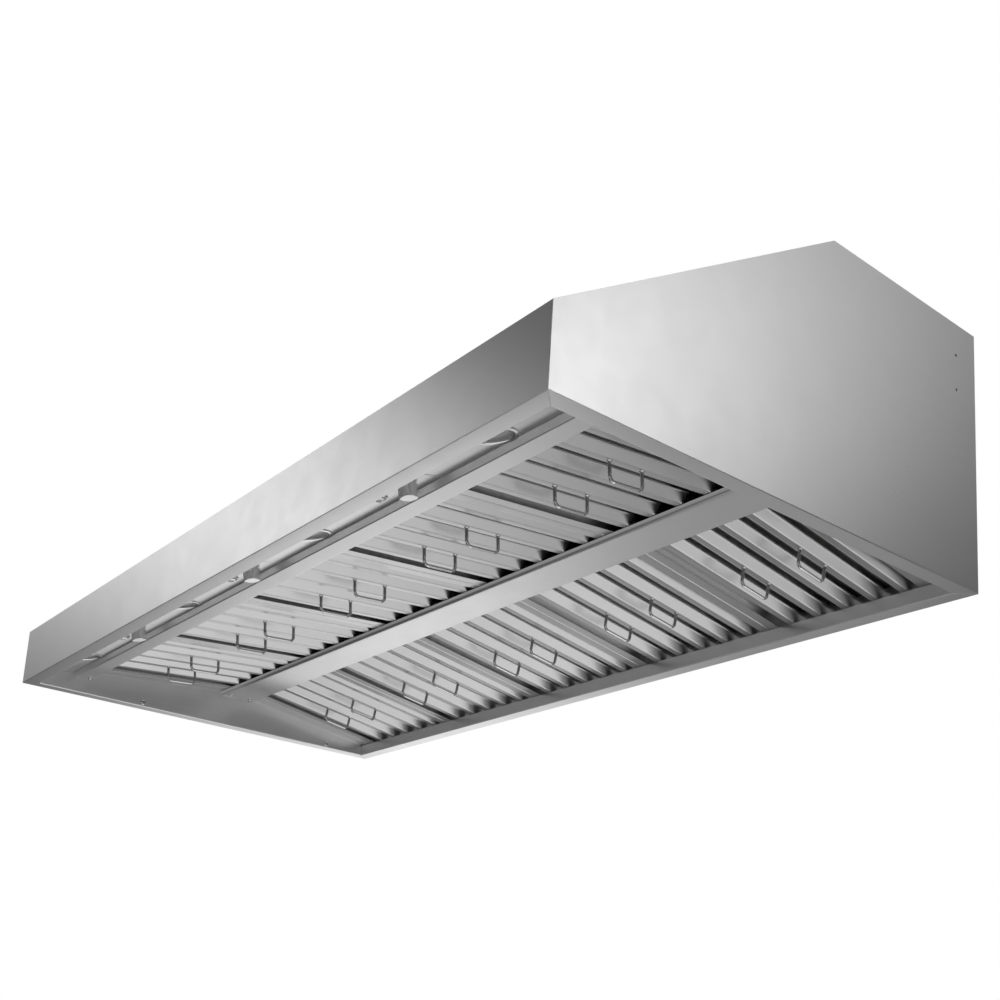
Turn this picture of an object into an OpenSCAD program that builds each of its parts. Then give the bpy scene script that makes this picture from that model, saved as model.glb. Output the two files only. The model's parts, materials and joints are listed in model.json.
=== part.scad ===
// Range hood insert: a folded steel canopy with two rows of baffle filters, three blowers and three ducts.
// X runs across the hood, the front faces -Y and +Z is up. The origin is the middle of the underside.
// Depths named _y are measured back from the front face, and heights named _z up from the bottom lip.

/* [Canopy] */
// Overall width
canopy_w = 1829; // [1760:1:2000]
// Overall depth from front face to back face
canopy_d = 903; // [860:1:960]
// Height of the sheet-metal body without the duct collars
canopy_h = 457; // [440:1:520]
// Height of the vertical front
fascia_h = 120; // [100:1:160]
// Depth of the flat part of the top
flat_d = 372; // [350:1:420]
// Thickness of the canopy sheet
sheet_t = 1.2; // [0.8:0.1:1.5]
// Gap at a seam between two sheets
seam = 0.2; // [0.1:0.05:0.4]
// Width of the turned-in lip at the front and the sides
lip_w = 29; // [24:0.5:34]
// Width of the turned-in lip at the back
back_lip_w = 31; // [27:0.5:36]
// Height of the upturned flange on the front lip
front_flange_h = 24; // [18:0.5:26]
// Height of the upturned flange on the side lips
side_flange_h = 20; // [16:0.5:24]
// Height of the upturned flange on the back lip
back_flange_h = 23; // [18:0.5:26]
// Height of the top panel's flanges tucked behind the front and the back
tuck_h = 25; // [15:1:35]

/* [Light panel] */
// Tilt of the light panel, rising to the rear
panel_tilt = 12.5; // [9:0.5:15]
// Depth of the light panel's rear edge
panel_rear_y = 101.8; // [98:0.2:104]
// Height of the light panel's rear edge above the bottom lips
panel_rear_z = 44.2; // [42:0.2:47]
// Height of the flange behind the light panel's rear edge
panel_upstand_h = 16; // [8:1:24]
// Width of the seams between the cover plates
plate_seam = 1.2; // [0.6:0.1:2]
// Depth of the line of lamps, knobs and rockers
control_y = 69; // [66:0.5:71]
// Distance of the end lamps from the side liners
lamp_in = 166.9; // [130:0.1:190]
// Sideways offset of a knob from the middle of its group
knob_offset = 33; // [31:0.5:35]
// Sideways offset of a rocker from the middle of its group
rocker_offset = -39; // [-42:0.5:-36]
// Sideways offset of a cover plate seam from the middle of its group
seam_offset = 75; // [70:0.5:80]

/* [Lamps] */
// Radius of the bezel flange
bezel_r = 33; // [32:0.5:34]
// Thickness of the bezel flange
bezel_t = 1.5; // [1:0.1:2.5]
// Outer radius of the lamp can
can_r = 29; // [28:0.2:30]
// Height of the lamp can above the panel face
can_h = 40; // [30:1:50]
// Wall of the lamp can
can_wall = 1.6; // [1:0.1:2.2]
// Inward step of the bezel below the lens
bezel_step = 0.9; // [0.6:0.1:1.5]
// Depth of the lens above the panel face
lens_recess = 4; // [2:0.5:8]
// Thickness of the lens
lens_t = 2; // [1.5:0.1:3]
// Gap around a lamp can in its hole
can_gap = 0.4; // [0.2:0.1:0.8]

/* [Knobs] */
// Radius of a knob
knob_r = 14.5; // [13:0.5:16]
// Distance of the knob's end from the panel face
knob_reach = 23; // [20:0.5:26]
// Gap between the knob and the panel face
knob_gap = 2.5; // [2:0.1:4]
// Chamfer around the knob's end
knob_chamfer = 0.8; // [0.3:0.1:1.5]
// Radius of a knob's shaft
shaft_r = 3; // [2.5:0.1:3.5]
// Length of the shaft above the panel face
shaft_len = 20; // [14:1:24]
// Running clearance of a shaft or pin in its bore
running = 0.05; // [0.02:0.01:0.09]
// Side of a speed control's square case
control_case_w = 40; // [34:1:44]
// Height of a speed control's case
control_case_h = 30; // [27:1:36]
// Radius of a speed control's threaded bush
bush_r = 4.8; // [4.2:0.1:5.2]
// Length of the bush below the panel face
bush_len = 1.5; // [1:0.1:1.8]

/* [Rockers] */
// Radius of a rocker switch's body in the panel
switch_r = 10; // [9.8:0.1:10.5]
// Radius of a rocker switch's bezel
switch_bezel_r = 11.5; // [11:0.1:12.5]
// Thickness of a rocker switch's bezel
switch_bezel_t = 2; // [1.5:0.1:2.5]
// Height of a rocker switch's body above the panel face
switch_h = 22; // [16:1:28]
// Radius of the well that the rocker moves in
well_r = 9; // [8.8:0.1:9.2]
// Depth of the well above the panel face
well_depth = 6.5; // [6:0.1:8]
// Length of a rocker paddle across its rocking direction
paddle_w = 10; // [8:0.2:11]
// Half length of a rocker paddle
paddle_half = 6.8; // [6:0.1:7]
// Distance of a rocker paddle's raised ends from the panel face
paddle_reach = 4.2; // [3.5:0.1:5]
// Depth of the hollow in the middle of a rocker paddle
paddle_hollow = 1.4; // [0.6:0.1:2]
// Height of a rocker's hub above its pivot
paddle_hub = 2; // [1.8:0.1:2.4]
// Rocking angle from one stop to the other
rocker_swing = 16; // [10:1:18]
// Radius of a rocker's pivot pin
rocker_pin_r = 1.2; // [1:0.1:1.5]
// Height of the rocker's pivot above the panel face
rocker_pivot = 2.5; // [2:0.1:3]

/* [Filters] */
// Width of the filler strip between the side liner and the filters
filler_w = 41.7; // [30:0.1:60]
// Gap between neighbouring filters
filter_gap = 1; // [0.6:0.1:2]
// Overall thickness of a filter
filter_t = 25; // [23:0.5:27]
// Thickness of a filter's sheet
filter_sheet = 1; // [0.8:0.1:1.2]
// Width of the flange along a filter's sides
filter_side_flange = 20; // [14:0.5:24]
// Width of the flange along a filter's ends
filter_end_flange = 10; // [8:0.5:12]
// Tilt of the front row, rising to the rear
front_tilt = 5.15; // [4:0.05:6]
// Tilt of the rear row, falling to the rear
rear_tilt = 9.1; // [8:0.1:10]
// Height of the front row's underside at its low end
front_low_z = 50.3; // [49:0.1:55]
// Height of the rear row's underside at its low end
rear_low_z = 25; // [24.5:0.1:30]
// Gap between a filter and the stop or ledge it rests against
rest_gap = 0.3; // [0.2:0.05:0.6]
// Width of a baffle's flat bottom
blade_flat = 14.5; // [12:0.5:18]
// Distance of the outermost baffles' middles from a filter's sides
blade_in = 49.3; // [47:0.1:56]
// Sideways run of a baffle's sloped wall
blade_run = 9; // [7:0.5:10]
// Height of a baffle's sloped wall
blade_rise = 14.5; // [13:0.5:17]
// Width of the turned-out lip on a lower baffle
blade_lip = 3; // [2:0.2:4]
// Height of the upper baffles' lower edges
upper_baffle_z = 8; // [6:0.5:9]
// Length by which the sloped walls stop short of the high end
blade_setback = 12; // [8:0.5:14]

/* [Handles] */
// Thickness of the handle wire
wire_d = 5; // [4:0.2:6]
// Distance between a handle's two feet
handle_feet = 64; // [58:0.5:72]
// Depth of a handle below the filter
handle_drop = 33; // [28:0.5:38]
// Bend radius of the handle wire
handle_bend = 9; // [7:0.5:12]
// Distance of a handle's middle from the filter's low end
handle_at = 178; // [160:1:200]

/* [Rails] */
// Depth of the front rail's lower front corner
rail_front_y = 107.3; // [106:0.1:109]
// Width of the front rail's flat bottom
rail_w = 32.4; // [30:0.1:35]
// Height of the front rail's flat bottom
rail_z = 33.7; // [31:0.1:36]
// Setback of the filter stop behind the rail's lower front corner
stop_setback = 3.2; // [2:0.1:4]
// Height of the filter stop above the low end of the filters
stop_rise = 28; // [26:1:36]
// Height of the foot of the filter stop above the light panel's rear edge
stop_foot_rise = 1.3; // [1:0.1:3]
// Distance between the centre beam's two lips
beam_w = 88.5; // [84:0.5:94]
// Height of the centre beam's flat bottom
beam_z = 72.7; // [70:0.1:74]
// Outward run of the centre beam's front lip
beam_front_run = 4.8; // [3:0.1:6]
// Outward run of the centre beam's rear lip
beam_rear_run = 1.7; // [1:0.1:3]
// Length of the front filters that lies over the centre beam
front_overlap = 14.7; // [13:0.1:17]
// Length of the rear filters that lies over the centre beam
rear_overlap = 21.9; // [19:0.1:24]
// Width of the stiffening web on the centre beam
web_w = 8; // [6:0.2:8.4]
// Clearance of the web from the filters at the end of their travel
web_gap = 1; // [0.4:0.1:2]
// Height of the stiffening web above the beam's bottom
web_h = 35; // [25:1:45]
// Width of the rear grease gutter
gutter_w = 16.9; // [15:0.1:18]
// Height of the gutter's underside
gutter_z = 8; // [5:0.5:12]
// Height of the gutter's rear wall
gutter_wall_z = 60; // [56:1:80]
// Width of the tabs that carry the rail and the beam
tab_w = 30; // [24:1:36]
// Distance of the end screws from the liner
end_screw_in = 16; // [12:0.5:20]
// Spacing of the two screws under each end of the centre beam
beam_screw_pitch = 50; // [30:1:60]
// Distance of the front rail's end screws from its rear wall
rail_screw_in = 6; // [5.5:0.5:14]
// Depth of the tab above each end of the front rail
rail_tab_d = 10; // [9:0.5:12]

/* [Blowers and ducts] */
// Distance of the outer ducts' centres from the side faces
duct_in = 354.5; // [345:0.5:395]
// Distance of the duct centres from the back face
duct_back = 186; // [168:1:203]
// Outer radius of a duct collar
collar_r = 100; // [96:0.5:103]
// Height of a duct collar's neck
collar_h = 55; // [45:1:80]
// Side of a duct collar's square base
collar_base_w = 230; // [222:1:250]
// Width of the rim that the damper flaps rest on
collar_rim = 9; // [7:0.5:12]
// Gap between the damper flaps and the collar's neck
flap_gap = 2.8; // [2:0.1:4]
// Thickness of a damper flap
flap_t = 1; // [0.8:0.1:1.5]
// Radius of the damper rod
rod_r = 3; // [2.5:0.1:4]
// Outer radius of a flap's knuckle
knuckle_r = 5; // [4.6:0.1:6.5]
// Length of the middle knuckle
knuckle_len = 60; // [40:1:80]
// Length of each outer knuckle
outer_knuckle_len = 40; // [25:1:45]
// Inner radius of the scroll at its tongue
scroll_start_r = 100; // [96:1:106]
// Radius of the scroll where it meets the outlet
scroll_end_r = 150; // [140:1:155]
// Width of a blower housing along its axle
housing_w = 182; // [174:1:200]
// Height of the axle below the top of the canopy
axle_drop = 172; // [168:1:180]
// Radius of a blower's side inlets
inlet_r = 74; // [66:1:78]
// Outer radius of a blower wheel
wheel_r = 90; // [84:1:92]
// Length of a blower wheel along its axle
wheel_w = 152; // [140:1:160]
// Angle of the scroll's tongue above the level
tongue_angle = 75; // [65:1:80]
// Radial depth of a blower wheel's vanes
vane_depth = 14; // [10:0.5:15]
// Thickness of a blower wheel's vanes and discs
vane_t = 1.5; // [1:0.1:2]
// Number of vanes on a blower wheel
vanes = 30; // [20:1:36]
// Radius of a blower's axle
axle_r = 5; // [4:0.1:6]
// Length of the axle inside the motor
axle_grip = 20; // [14:1:30]
// Radius of a blower wheel's hub
hub_r = 15; // [12:0.5:20]
// Length of a blower wheel's hub
hub_len = 16; // [12:1:20]
// Radius of a blower motor
motor_r = 50; // [42:1:54]
// Length of a blower motor
motor_len = 80; // [70:1:95]
// Gap between the middle of the wheel's disc and the motor
motor_gap = 14; // [12:0.5:18]
// Width of a motor bracket's arms
arm_w = 20; // [14:1:26]
// Thickness of a motor bracket's arms
arm_t = 3; // [2:0.2:4]
// Width of the flange on top of a blower housing
outlet_flange = 15; // [10:1:20]

/* [Supply and fixings] */
// Side of the junction box
box_w = 100; // [80:1:110]
// Height of the junction box
box_h = 50; // [40:1:70]
// Overhang of the junction box's lid
lid_overhang = 2; // [0:0.5:5]
// Gap between the junction box and the side liner
box_side_gap = 20; // [10:1:25]
// Radius of the supply cable's knockout
knockout_r = 11.1; // [9:0.1:14]
// Radius of the wall and ceiling fixing holes
fixing_hole_r = 4.5; // [3.5:0.1:5.5]
// Distance of the wall fixing holes from the side faces
wall_fixing_in = 101.5; // [70:0.5:160]
// Distance of the upper wall fixing holes below the top
wall_fixing_drop = 57; // [40:1:90]
// Upright spacing of the wall fixing holes
wall_fixing_h = 220; // [160:1:240]
// Distance of the ceiling fixing holes from the side faces
top_fixing_in = 76.5; // [60:0.5:110]
// Distance of the rear ceiling fixing holes from the back face
top_fixing_back = 53; // [40:1:80]
// Front-to-back spacing of the ceiling fixing holes
top_fixing_d = 270; // [200:1:280]
// Radius of the small holes in the side panels
side_hole_r = 2.25; // [1.5:0.05:3]
// Distance of the side holes from the back face
side_hole_in = 54; // [40:1:70]
// Distance of the upper side hole below the top
side_hole_drop = 57; // [40:1:90]
// Upright spacing of the side holes
side_hole_rise = 62; // [40:1:70]
// Radius of a small screw's head
screw_head_r = 4; // [3:0.1:5]
// Height of a small screw's head
screw_head_h = 2.2; // [1.5:0.1:3]
// Radius of a small screw's shank
screw_r = 2; // [1.5:0.1:2.5]
// Gap around a small screw's shank
screw_gap = 0.3; // [0.2:0.05:0.5]
// Length of a small screw's shank
screw_len = 6; // [4:0.5:8]
// Distance of each side flange's front screw from the front face
liner_screw_front = 270; // [200:1:340]
// Distance of each side flange's rear screw from the back face
liner_screw_back = 137; // [100:1:200]
// Height of the screws along each side flange
liner_screw_z = 9.5; // [8:0.5:11]

/* [Hidden] */
$fn = 64;
steel = [0.74, 0.75, 0.76];
dark_steel = [0.52, 0.53, 0.55];
filter_steel = [0.68, 0.69, 0.70];
wire_steel = [0.85, 0.86, 0.88];
glass = [0.93, 0.94, 0.92];
plastic = [0.16, 0.16, 0.17];
knob_silver = [0.80, 0.80, 0.82];
zinc = [0.60, 0.61, 0.62];

row = [1, 2, 3, 4, 5];
group = [-1, 0, 1];
lamp = [1, 2, 3, 4];
sides = [-1, 1];
tiny = 0.01;
// Length of a cut that passes right through a sheet
through = 8;

front_y = -canopy_d / 2;
half_w = canopy_w / 2;
// Side faces of the two sheets inside the side panels
flange_x = half_w - lip_w;
liner_x = flange_x + sheet_t + seam;
back_flange_y = canopy_d - back_lip_w;
slope_run = canopy_d - flat_d;
liner_screw_y = [liner_screw_front, canopy_d - liner_screw_back];

// Light panel
plate_front_y = lip_w + seam;
fit_x = liner_x - seam;
control_pitch = 2 * (liner_x - lamp_in) / (len(lamp) - 1);

// Filter rows: the low ends sit at the stops, and the high ends over the centre beam
filter_pitch = 2 * (liner_x - filler_w) / len(row);
filter_w = filter_pitch - filter_gap;
rail_rear_y = rail_front_y + rail_w;
stop_y = rail_front_y + stop_setback + sheet_t;
gutter_front_y = back_flange_y + sheet_t + seam;
gutter_stop_y = gutter_front_y + gutter_w - sheet_t;
front_low_y = stop_y + rest_gap + filter_t * sin(front_tilt);
rear_low_y = gutter_stop_y - rest_gap - filter_t * sin(rear_tilt);
filter_l = (rear_low_y - front_low_y - beam_w + front_overlap + rear_overlap)
    / (cos(front_tilt) + cos(rear_tilt));
front_high_y = front_low_y + filter_l * cos(front_tilt);
rear_high_y = rear_low_y - filter_l * cos(rear_tilt);
beam_front_y = front_high_y - front_overlap;
beam_rear_y = rear_high_y + rear_overlap;
// The web stands midway between the filters at the end of their travel
front_travel = (rail_rear_y - front_low_y + web_gap) / cos(front_tilt);
rear_travel = (rear_low_y - back_flange_y + web_gap) / cos(rear_tilt);
web_y = (front_high_y + front_travel * cos(front_tilt) + rear_high_y - rear_travel * cos(rear_tilt)) / 2;
blade_count = 5;
blade_pitch = (filter_w - 2 * blade_in) / (blade_count - 1);
baffle_run = (blade_pitch - blade_flat) / 2;
upper_top = filter_t - filter_sheet;
handle_places = [-blade_pitch, blade_pitch];

// Blowers
duct_pitch = half_w - duct_in;
duct_y = canopy_d - duct_back;
tongue_y = scroll_start_r * cos(tongue_angle);
axle_y = duct_y - (tongue_y + scroll_end_r) / 2;
axle_z = canopy_h - axle_drop;
outlet_top = axle_drop - sheet_t;
collar_z = canopy_h + sheet_t;
flap_z = collar_z + rest_gap;
rod_z = flap_z + knuckle_r;
flap_r = collar_r - sheet_t - flap_gap;

// Folded sheet: a line of points thickened to one side
function unit(v) = v / norm(v);
function left_of(v) = [-v[1], v[0]];
function mitre(p, i, t) =
    let (
        last = len(p) - 1,
        before = i > 0 ? unit(p[i] - p[i - 1]) : unit(p[1] - p[0]),
        after = i < last ? unit(p[i + 1] - p[i]) : before,
        way = unit(left_of(before) + left_of(after))
    ) p[i] + way * t / (way * left_of(before));
function folded(p, t) = concat(p, [for (i = [len(p) - 1:-1:0]) mitre(p, i, t)]);

// Rise of a leaning lip's inner corner above its outer corner
function lip_rise(run, height) = sheet_t * run / norm([run, height]);

// Heights of the two filter rows' undersides and of the light panel at a depth
function front_line(y) = front_low_z + (y - front_low_y) * tan(front_tilt);
function rear_line(y) = rear_low_z + (rear_low_y - y) * tan(rear_tilt);
function panel_line(y) = panel_rear_z - (panel_rear_y - y) * tan(panel_tilt);
function lamp_x(i) = (i - (len(lamp) + 1) / 2) * control_pitch;
function group_x(i) = group[i - 1] * control_pitch;
function duct_x(i) = group[i - 1] * duct_pitch;
function junction_x() = liner_x - box_side_gap - box_w / 2;
function filter_x(i) = (i - (len(row) + 1) / 2) * filter_pitch;

// Profile in Y and Z, drawn out along X about the middle
module along_x(length) {
    translate([-length / 2, 0, 0]) rotate([90, 0, 90]) linear_extrude(length) children();
}

// Profile in X and Z, drawn out along +Y
module along_y(length) {
    translate([0, length, 0]) rotate([90, 0, 0]) linear_extrude(length) children();
}

// Depths inside are measured from the front face
module from_front() {
    translate([0, front_y, 0]) children();
}

// Local frame on the light panel: -Z points out of the visible face
module on_panel(x) {
    translate([x, front_y + control_y, panel_line(control_y)]) rotate([panel_tilt, 0, 0]) children();
}

module panel_hole(x, r) {
    on_panel(x) cylinder(h = through, r = r, center = true);
}

// Screw with its head below z = 0 and its shank above
module screw() {
    translate([0, 0, -screw_head_h]) cylinder(h = screw_head_h, r = screw_head_r);
    translate([0, 0, -tiny]) cylinder(h = screw_len + tiny, r = screw_r);
}

module screw_hole() {
    cylinder(h = through, r = screw_r + screw_gap, center = true);
}

// Places of the screws in the side flanges, along +X from the inside
module liner_screw_places(side) {
    for (y = liner_screw_y)
        translate([side * flange_x, front_y + y, liner_screw_z]) rotate([0, side * 90, 0]) children();
}

// Places of the screws under the ends of the beam and the rail
module end_screw_places(side) {
    x = side * (liner_x - end_screw_in);
    for (end = sides)
        translate([x, front_y + web_y + end * beam_screw_pitch / 2, beam_z]) children();
    translate([x, front_y + rail_rear_y - rail_screw_in, rail_z]) children();
}

// Canopy

module front_panel() {
    panel_half = half_w - sheet_t - seam;
    path = [[0, fascia_h], [0, 0], [lip_w, 0], [lip_w, front_flange_h]];
    color(steel) from_front() intersection() {
        along_x(2 * panel_half) polygon(folded(path, sheet_t));
        // Mitres where the front lip meets the side lips
        linear_extrude(fascia_h) polygon([
            [seam - half_w, 0], [half_w - seam, 0],
            [half_w - seam - 2 * lip_w, 2 * lip_w], [seam - half_w + 2 * lip_w, 2 * lip_w]
        ]);
    }
}

module wall_fixing_places() {
    for (x = sides, z = [0, wall_fixing_h])
        translate([x * (half_w - wall_fixing_in), canopy_d, canopy_h - wall_fixing_drop - z])
            rotate([90, 0, 0]) children();
}

module back_panel() {
    panel_half = half_w - sheet_t - seam;
    path = [[canopy_d, canopy_h], [canopy_d, 0], [back_flange_y, 0], [back_flange_y, back_flange_h]];
    reach = 2 * back_lip_w;
    draw_in = reach * lip_w / back_lip_w;
    color(steel) from_front() difference() {
        intersection() {
            along_x(2 * panel_half) polygon(folded(path, -sheet_t));
            linear_extrude(canopy_h) polygon([
                [seam - half_w, canopy_d], [half_w - seam, canopy_d],
                [half_w - seam - draw_in, canopy_d - reach], [seam - half_w + draw_in, canopy_d - reach]
            ]);
        }
        wall_fixing_places() cylinder(h = through, r = fixing_hole_r, center = true);
    }
}

module top_fixing_places() {
    for (x = sides, y = [0, top_fixing_d])
        translate([x * (half_w - top_fixing_in), canopy_d - top_fixing_back - y, canopy_h]) children();
}

module top_panel() {
    inner_y = sheet_t + seam;
    slope_rise = canopy_h - fascia_h;
    front_z = fascia_h + inner_y * slope_rise / slope_run;
    path = [
        [inner_y, front_z - tuck_h], [inner_y, front_z], [slope_run, canopy_h],
        [canopy_d - inner_y, canopy_h], [canopy_d - inner_y, canopy_h - tuck_h]
    ];
    color(steel) from_front() difference() {
        along_x(2 * (half_w - sheet_t - seam)) polygon(folded(path, -sheet_t));
        for (i = [1:3])
            translate([duct_x(i), duct_y, canopy_h])
                cylinder(h = through, r = collar_r - sheet_t, center = true);
        top_fixing_places() cylinder(h = through, r = fixing_hole_r, center = true);
        translate([junction_x(), duct_y, canopy_h]) cylinder(h = through, r = knockout_r, center = true);
    }
}

// Side panel on the +X side; the other is its mirror image
module side_panel() {
    outline = [
        [0, 0], [canopy_d, 0], [canopy_d, canopy_h], [slope_run, canopy_h], [0, fascia_h]
    ];
    lip = [[half_w, 2 * side_flange_h], [half_w, 0], [flange_x, 0], [flange_x, side_flange_h]];
    difference() {
        from_front() union() {
            translate([half_w - sheet_t / 2, 0, 0]) along_x(sheet_t) polygon(outline);
            intersection() {
                along_y(canopy_d) polygon(folded(lip, -sheet_t));
                linear_extrude(3 * side_flange_h) polygon([
                    [half_w, 0], [half_w, canopy_d], [flange_x, back_flange_y], [flange_x, lip_w]
                ]);
            }
        }
        for (z = [0, side_hole_rise])
            translate([half_w, front_y + canopy_d - side_hole_in, canopy_h - side_hole_drop - z])
                rotate([0, 90, 0]) cylinder(h = through, r = side_hole_r, center = true);
        liner_screw_places(1) screw_hole();
    }
}

module right_side_panel() {
    color(steel) side_panel();
}

module left_side_panel() {
    color(steel) mirror([1, 0, 0]) side_panel();
}

// Inner wall on the +X side with its filler strips and the tabs for the rail and the beam
module liner() {
    base_z = sheet_t + seam;
    start_y = lip_w + seam;
    end_y = back_flange_y - seam;
    beam_tab_d = beam_screw_pitch + 2 * screw_head_r + 2 * sheet_t;
    wall = [
        [start_y, base_z], [end_y, base_z], [end_y, rear_line(end_y) + sheet_t],
        [beam_rear_y, rear_line(beam_rear_y) + sheet_t], [beam_front_y, front_line(beam_front_y) + sheet_t],
        [rail_front_y, front_line(rail_front_y) + sheet_t], [start_y, panel_rear_z + sheet_t]
    ];
    tab_x = liner_x - tab_w / 2;
    fill_x = liner_x - (filler_w - rest_gap) / 2;
    difference() {
        from_front() union() {
            translate([liner_x + sheet_t / 2, 0, 0]) along_x(sheet_t) polygon(wall);
            translate([fill_x, 0, 0]) along_x(filler_w - rest_gap + 2 * tiny) {
                polygon(folded([
                    [rail_rear_y + seam, front_line(rail_rear_y + seam)],
                    [beam_front_y - seam, front_line(beam_front_y - seam)]
                ], sheet_t));
                polygon(folded([
                    [beam_rear_y + seam, rear_line(beam_rear_y + seam)],
                    [end_y, rear_line(end_y)]
                ], sheet_t));
            }
            translate([tab_x, web_y, beam_z + 1.5 * sheet_t + seam])
                cube([tab_w + 2 * tiny, beam_tab_d, sheet_t], center = true);
            translate([tab_x, rail_rear_y - rail_screw_in, rail_z + 1.5 * sheet_t + seam])
                cube([tab_w + 2 * tiny, rail_tab_d, sheet_t], center = true);
        }
        liner_screw_places(1) screw_hole();
        end_screw_places(1) screw_hole();
    }
}

module right_liner() {
    color(steel) liner();
}

module left_liner() {
    color(steel) mirror([1, 0, 0]) liner();
}

// Four cover plates, cut apart beside each control group
module light_panel() {
    bend_y = plate_front_y + sheet_t;
    path = [
        [bend_y, side_flange_h + seam], [bend_y, panel_line(bend_y)],
        [panel_rear_y, panel_rear_z], [panel_rear_y, panel_rear_z + panel_upstand_h]
    ];
    color(steel) difference() {
        from_front() along_x(2 * fit_x) polygon(folded(path, sheet_t));
        for (i = [1:3])
            translate([group_x(i) + seam_offset - plate_seam / 2, front_y, 0])
                cube([plate_seam, 2 * panel_rear_y, 4 * panel_rear_z]);
        for (i = lamp)
            panel_hole(lamp_x(i), can_r + can_gap);
        for (i = [1:3]) {
            panel_hole(group_x(i) + knob_offset, bush_r + can_gap);
            panel_hole(group_x(i) + rocker_offset, switch_r + can_gap / 2);
        }
    }
}

module front_rail() {
    join_y = panel_rear_y + seam;
    stop_front_y = stop_y - sheet_t;
    path = [
        [stop_front_y, front_low_z + stop_rise], [stop_front_y, front_low_z],
        [join_y, panel_rear_z + stop_foot_rise], [join_y, panel_rear_z - seam], [rail_front_y, rail_z],
        [rail_rear_y, rail_z], [rail_rear_y, front_line(rail_rear_y - sheet_t) - rest_gap]
    ];
    color(steel) difference() {
        from_front() along_x(2 * fit_x) polygon(folded(path, sheet_t));
        for (side = sides)
            end_screw_places(side) screw_hole();
    }
}

module centre_beam() {
    front_top = front_line(beam_front_y) - rest_gap;
    rear_top = rear_line(beam_rear_y) - rest_gap;
    path = [
        [beam_front_y, front_top - lip_rise(beam_front_run, front_top - beam_z)],
        [beam_front_y + beam_front_run, beam_z], [beam_rear_y - beam_rear_run, beam_z],
        [beam_rear_y, rear_top - lip_rise(beam_rear_run, rear_top - beam_z)]
    ];
    base_z = beam_z + sheet_t;
    web = [
        [web_y - web_w / 2, base_z - tiny], [web_y - web_w / 2, base_z + web_h],
        [web_y + web_w / 2, base_z + web_h], [web_y + web_w / 2, base_z - tiny]
    ];
    color(steel) difference() {
        from_front() union() {
            along_x(2 * fit_x) polygon(folded(path, sheet_t));
            along_x(2 * (fit_x - tab_w - sheet_t)) polygon(folded(web, -sheet_t));
        }
        for (side = sides)
            end_screw_places(side) screw_hole();
    }
}

module rear_gutter() {
    rear_y = gutter_front_y + gutter_w;
    path = [
        [gutter_front_y, rear_line(gutter_front_y + sheet_t) - rest_gap], [gutter_front_y, gutter_z],
        [rear_y, gutter_z], [rear_y, gutter_wall_z], [canopy_d - sheet_t - seam, gutter_wall_z]
    ];
    color(steel) from_front() along_x(2 * fit_x) polygon(folded(path, sheet_t));
}

// Lamps and controls

module lamp_cans() {
    color(zinc) for (i = lamp)
        on_panel(lamp_x(i)) difference() {
            union() {
                translate([0, 0, -bezel_t]) cylinder(h = bezel_t, r = bezel_r);
                translate([0, 0, -tiny]) cylinder(h = can_h + tiny, r = can_r);
            }
            translate([0, 0, -2 * bezel_t])
                cylinder(h = 2 * bezel_t + lens_recess, r = can_r - can_wall - bezel_step);
            translate([0, 0, lens_recess - tiny])
                cylinder(h = can_h - lens_recess - can_wall, r = can_r - can_wall);
        }
}

module lamp_lenses() {
    color(glass) for (i = lamp)
        on_panel(lamp_x(i)) translate([0, 0, lens_recess])
            cylinder(h = lens_t, r = can_r - can_wall - seam);
}

module speed_controls() {
    color(plastic) for (i = [1:3])
        on_panel(group_x(i) + knob_offset) difference() {
            union() {
                translate([0, 0, sheet_t + control_case_h / 2])
                    cube([control_case_w, control_case_w, control_case_h], center = true);
                translate([0, 0, -bush_len]) cylinder(h = bush_len + 2 * sheet_t, r = bush_r);
            }
            translate([0, 0, -2 * bush_len])
                cylinder(h = 2 * bush_len + shaft_len + rest_gap, r = shaft_r + running);
        }
}

module knob(i) {
    color(knob_silver) on_panel(group_x(i) + knob_offset) {
        rotate_extrude() polygon([
            [0, -knob_gap], [knob_r, -knob_gap], [knob_r, knob_chamfer - knob_reach],
            [knob_r - knob_chamfer, -knob_reach], [0, -knob_reach]
        ]);
        translate([0, 0, -knob_gap - tiny]) cylinder(h = knob_gap + shaft_len + tiny, r = shaft_r);
    }
}

module switch_bodies() {
    color(plastic) for (i = [1:3])
        on_panel(group_x(i) + rocker_offset) difference() {
            union() {
                translate([0, 0, -switch_bezel_t]) cylinder(h = switch_bezel_t, r = switch_bezel_r);
                translate([0, 0, -tiny]) cylinder(h = switch_h + tiny, r = switch_r);
            }
            translate([0, 0, -2 * switch_bezel_t])
                cylinder(h = 2 * switch_bezel_t + well_depth, r = well_r);
            translate([0, 0, rocker_pivot]) rotate([90, 0, 0])
                cylinder(h = well_r + switch_r, r = rocker_pin_r + running, center = true);
        }
}

// Rocker at rest against one stop, turned by half its swing about the pivot
module rocker(i) {
    tip = -rocker_pivot - paddle_reach;
    waist = paddle_half - paddle_hub;
    crown = [
        [-paddle_half, tip], [0, tip + paddle_hollow], [paddle_half, tip],
        [waist, -paddle_hub / 2], [paddle_hub, paddle_hub],
        [-paddle_hub, paddle_hub], [-waist, -paddle_hub / 2]
    ];
    color(knob_silver) on_panel(group_x(i) + rocker_offset) translate([0, 0, rocker_pivot])
        rotate([0, -rocker_swing / 2, 0]) {
            translate([0, -paddle_w / 2, 0]) along_y(paddle_w) polygon(crown);
            rotate([90, 0, 0]) cylinder(h = well_r + switch_r - 2 * seam, r = rocker_pin_r, center = true);
        }
}

// Filters, drawn lying flat: Y runs from the low end to the high end and the underside is z = 0

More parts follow.
